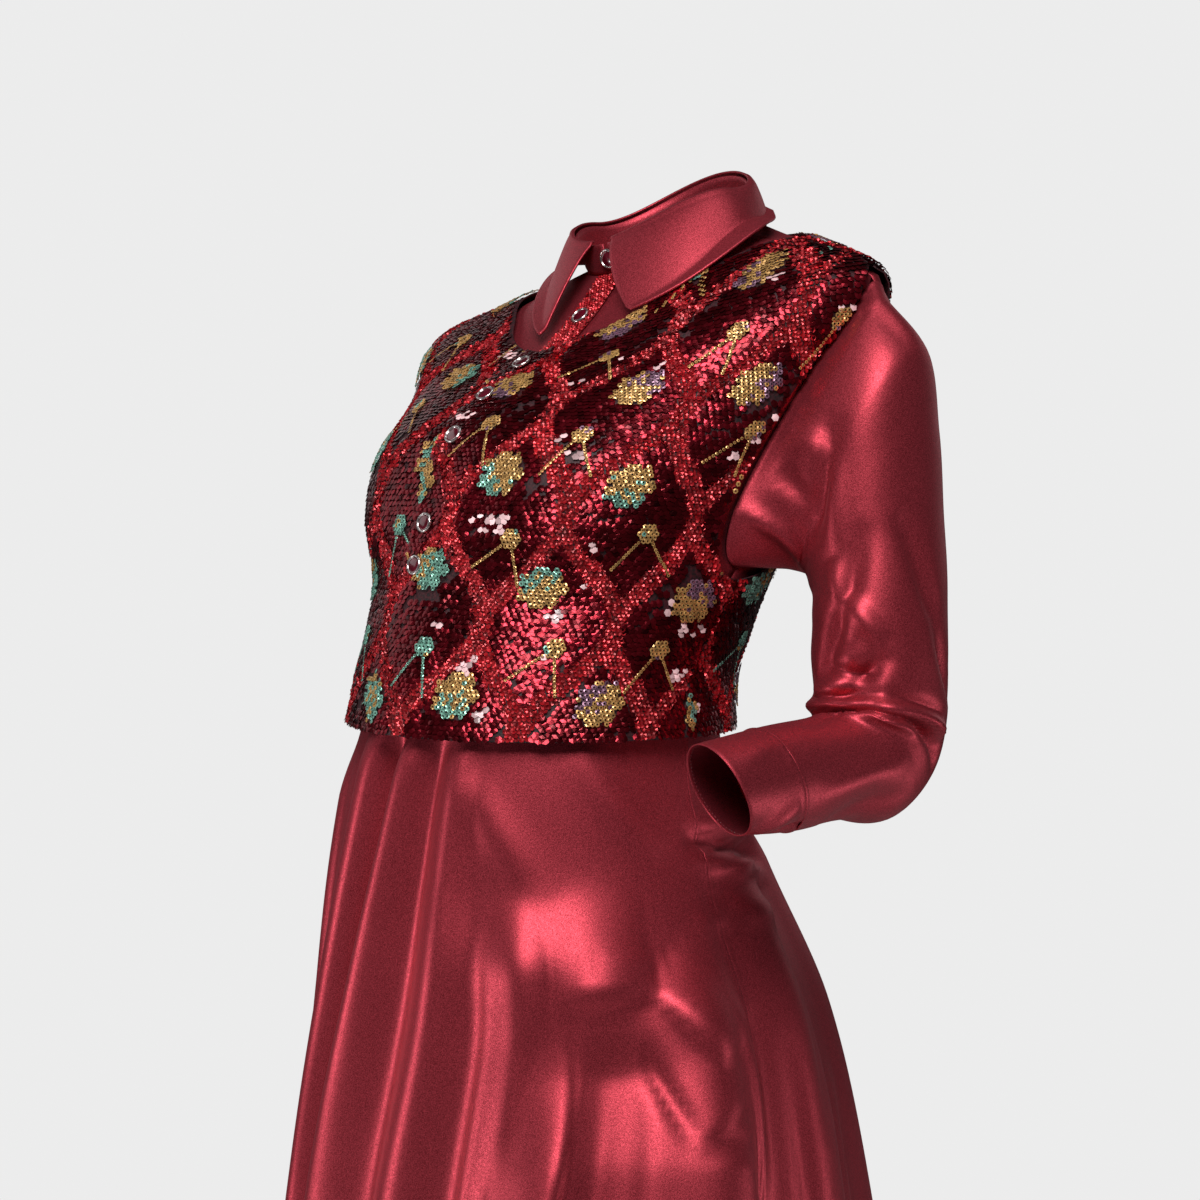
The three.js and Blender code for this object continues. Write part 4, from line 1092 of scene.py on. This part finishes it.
button("button_collar", stand, 0.5, 0.02, 0.26)
button("button_placket", band, PLACKET_BUTTON_AT, 0.004, 0.68)
for k, (at, rise) in enumerate(VEST_BUTTONS, 1):
    button(f"button_vest_{k}", vest_over, at, 0.004, rise)


def leaf_stitching():
    """Paths for the stitching along both front edges and the lower edge of the collar."""
    points, outs = sheets["collar_leaf"][1:]
    first, last, low = (edge_distance(points, edge) for edge in ("first", "last", "high"))

    def places(distance, sign):
        """Where each row of a grid comes to the stitching's distance from an edge."""
        steps = np.arange(distance.shape[1])
        return np.array([np.interp(sign * STITCH_IN, sign * row, steps) for row in distance])

    def path(points, outs, place, clear):
        row, k = np.arange(len(place)), place.astype(int)
        share = (place - k)[:, None]
        line = points[row, k] * (1 - share) + points[row, k + 1] * share
        return line[clear], outs[row, k][clear]

    rows, paths = np.arange(len(points)), []
    for place in (places(first, 1), places(last, -1)):
        clear = (rows >= 4) & (low[rows, np.round(place).astype(int)] >= 4)
        paths.append(path(points, outs, place, clear))
    place = places(low.T, -1)
    clear = np.minimum(first, last)[place.astype(int), np.arange(len(place))] >= STITCH_IN
    paths.append(path(points.swapaxes(0, 1), outs.swapaxes(0, 1), place, clear))
    return paths


stitches("stitches_collar", leaf_stitching())
for word in ("left", "right"):
    stitches("stitches_cuff_" + word, [[np.concatenate([rows[k], rows[k][:1]])
                                        for rows in sheets["cuff_" + word][1:]] for k in (1, -2)])


# ---------------------------------------------------------------- stage, light and camera
bpy.context.scene.view_settings.view_transform = "Standard"
world = bpy.data.worlds.new("studio")
bpy.context.scene.world = world
world.use_nodes = True
nodes, links = world.node_tree.nodes, world.node_tree.links
path = nodes.new("ShaderNodeLightPath")
mix = nodes.new("ShaderNodeMixShader")
links.new(path.outputs["Is Camera Ray"], mix.inputs["Fac"])
lighting, shown = nodes["Background"], nodes.new("ShaderNodeBackground")
for socket, node, colour in ((1, lighting, (0.95, 0.97, 1.0)), (2, shown, (0.84, 0.84, 0.84))):
    node.inputs["Color"].default_value = (*colour, 1)
    links.new(node.outputs["Background"], mix.inputs[socket])
lighting.inputs["Strength"].default_value = 0.025
links.new(mix.outputs["Shader"], nodes["World Output"].inputs["Surface"])

FLOOR_Z, FLOOR_HALF = -1.62, 2.6
corners = [(x * FLOOR_HALF, y * FLOOR_HALF, FLOOR_Z) for x, y in ((-1, -1), (1, -1), (1, 1), (-1, 1))]
floor_mesh = bpy.data.meshes.new("floor")
floor_mesh.from_pydata(corners, [], [(0, 1, 2, 3)])
floor_mesh.materials.append(mottled("floor", (0.8, 0.8, 0.8), 0.7, 0.0,
                                    (3.0, 2.0, 0.3, (0.78, 0.78, 0.78), 0.7, (0.82, 0.82, 0.82))))
placed("floor", floor_mesh)

AZIMUTH, ELEVATION, DISTANCE = math.radians(50), math.radians(4), 2.6
RIGHT = Vector((math.cos(AZIMUTH), math.sin(AZIMUTH), 0))
BACK = Vector((math.sin(AZIMUTH) * math.cos(ELEVATION), -math.cos(AZIMUTH) * math.cos(ELEVATION),
               math.sin(ELEVATION)))
UP = BACK.cross(RIGHT)
FRAME = 1200  # pixels across the picture
PIXEL = 0.00075  # metres to a pixel, at the garment
ORIGIN_AT = (675, 255)  # where the garment's origin shows, in pixels
AIM = RIGHT * ((FRAME / 2 - ORIGIN_AT[0]) * PIXEL) - UP * ((FRAME / 2 - ORIGIN_AT[1]) * PIXEL)


def lamp(name, right, up, back, size, power, colour=(1, 1, 1)):
    """A square soft light, placed from the middle of the picture and facing it."""
    data = bpy.data.lights.new(name, "AREA")
    data.shape = "SQUARE"
    data.size = size
    data.energy = power
    data.color = colour
    obj = placed(name, data)
    offset = RIGHT * right + UP * up + BACK * back
    obj.location = AIM + offset
    obj.rotation_euler = offset.to_track_quat("Z", "Y").to_euler()


lamp("key", -0.25, 1.45, 1.95, 1.1, 56, (1, 0.985, 0.97))
lamp("low", -1.3, -0.45, 0.3, 0.3, 4.5)
lamp("left", -1.8, 1.0, -0.5, 1.2, 4)
lamp("fill", 1.3, -0.6, 0.2, 0.5, 2.4)
lamp("top", 0.5, 2.2, 0.4, 0.9, 6)
lamp("behind", -1.2, 1.2, -2.2, 1.4, 3)
lamp("behind_right", 1.6, 0.8, -1.9, 1.4, 2.5)

camera_data = bpy.data.cameras.new("camera")
camera_data.sensor_width = 36
camera_data.lens = camera_data.sensor_width * DISTANCE / (FRAME * PIXEL)
camera_data.clip_end = 30
camera = placed("camera", camera_data)
camera.location = AIM + BACK * DISTANCE
camera.rotation_euler = BACK.to_track_quat("Z", "Y").to_euler()
bpy.context.scene.camera = camera
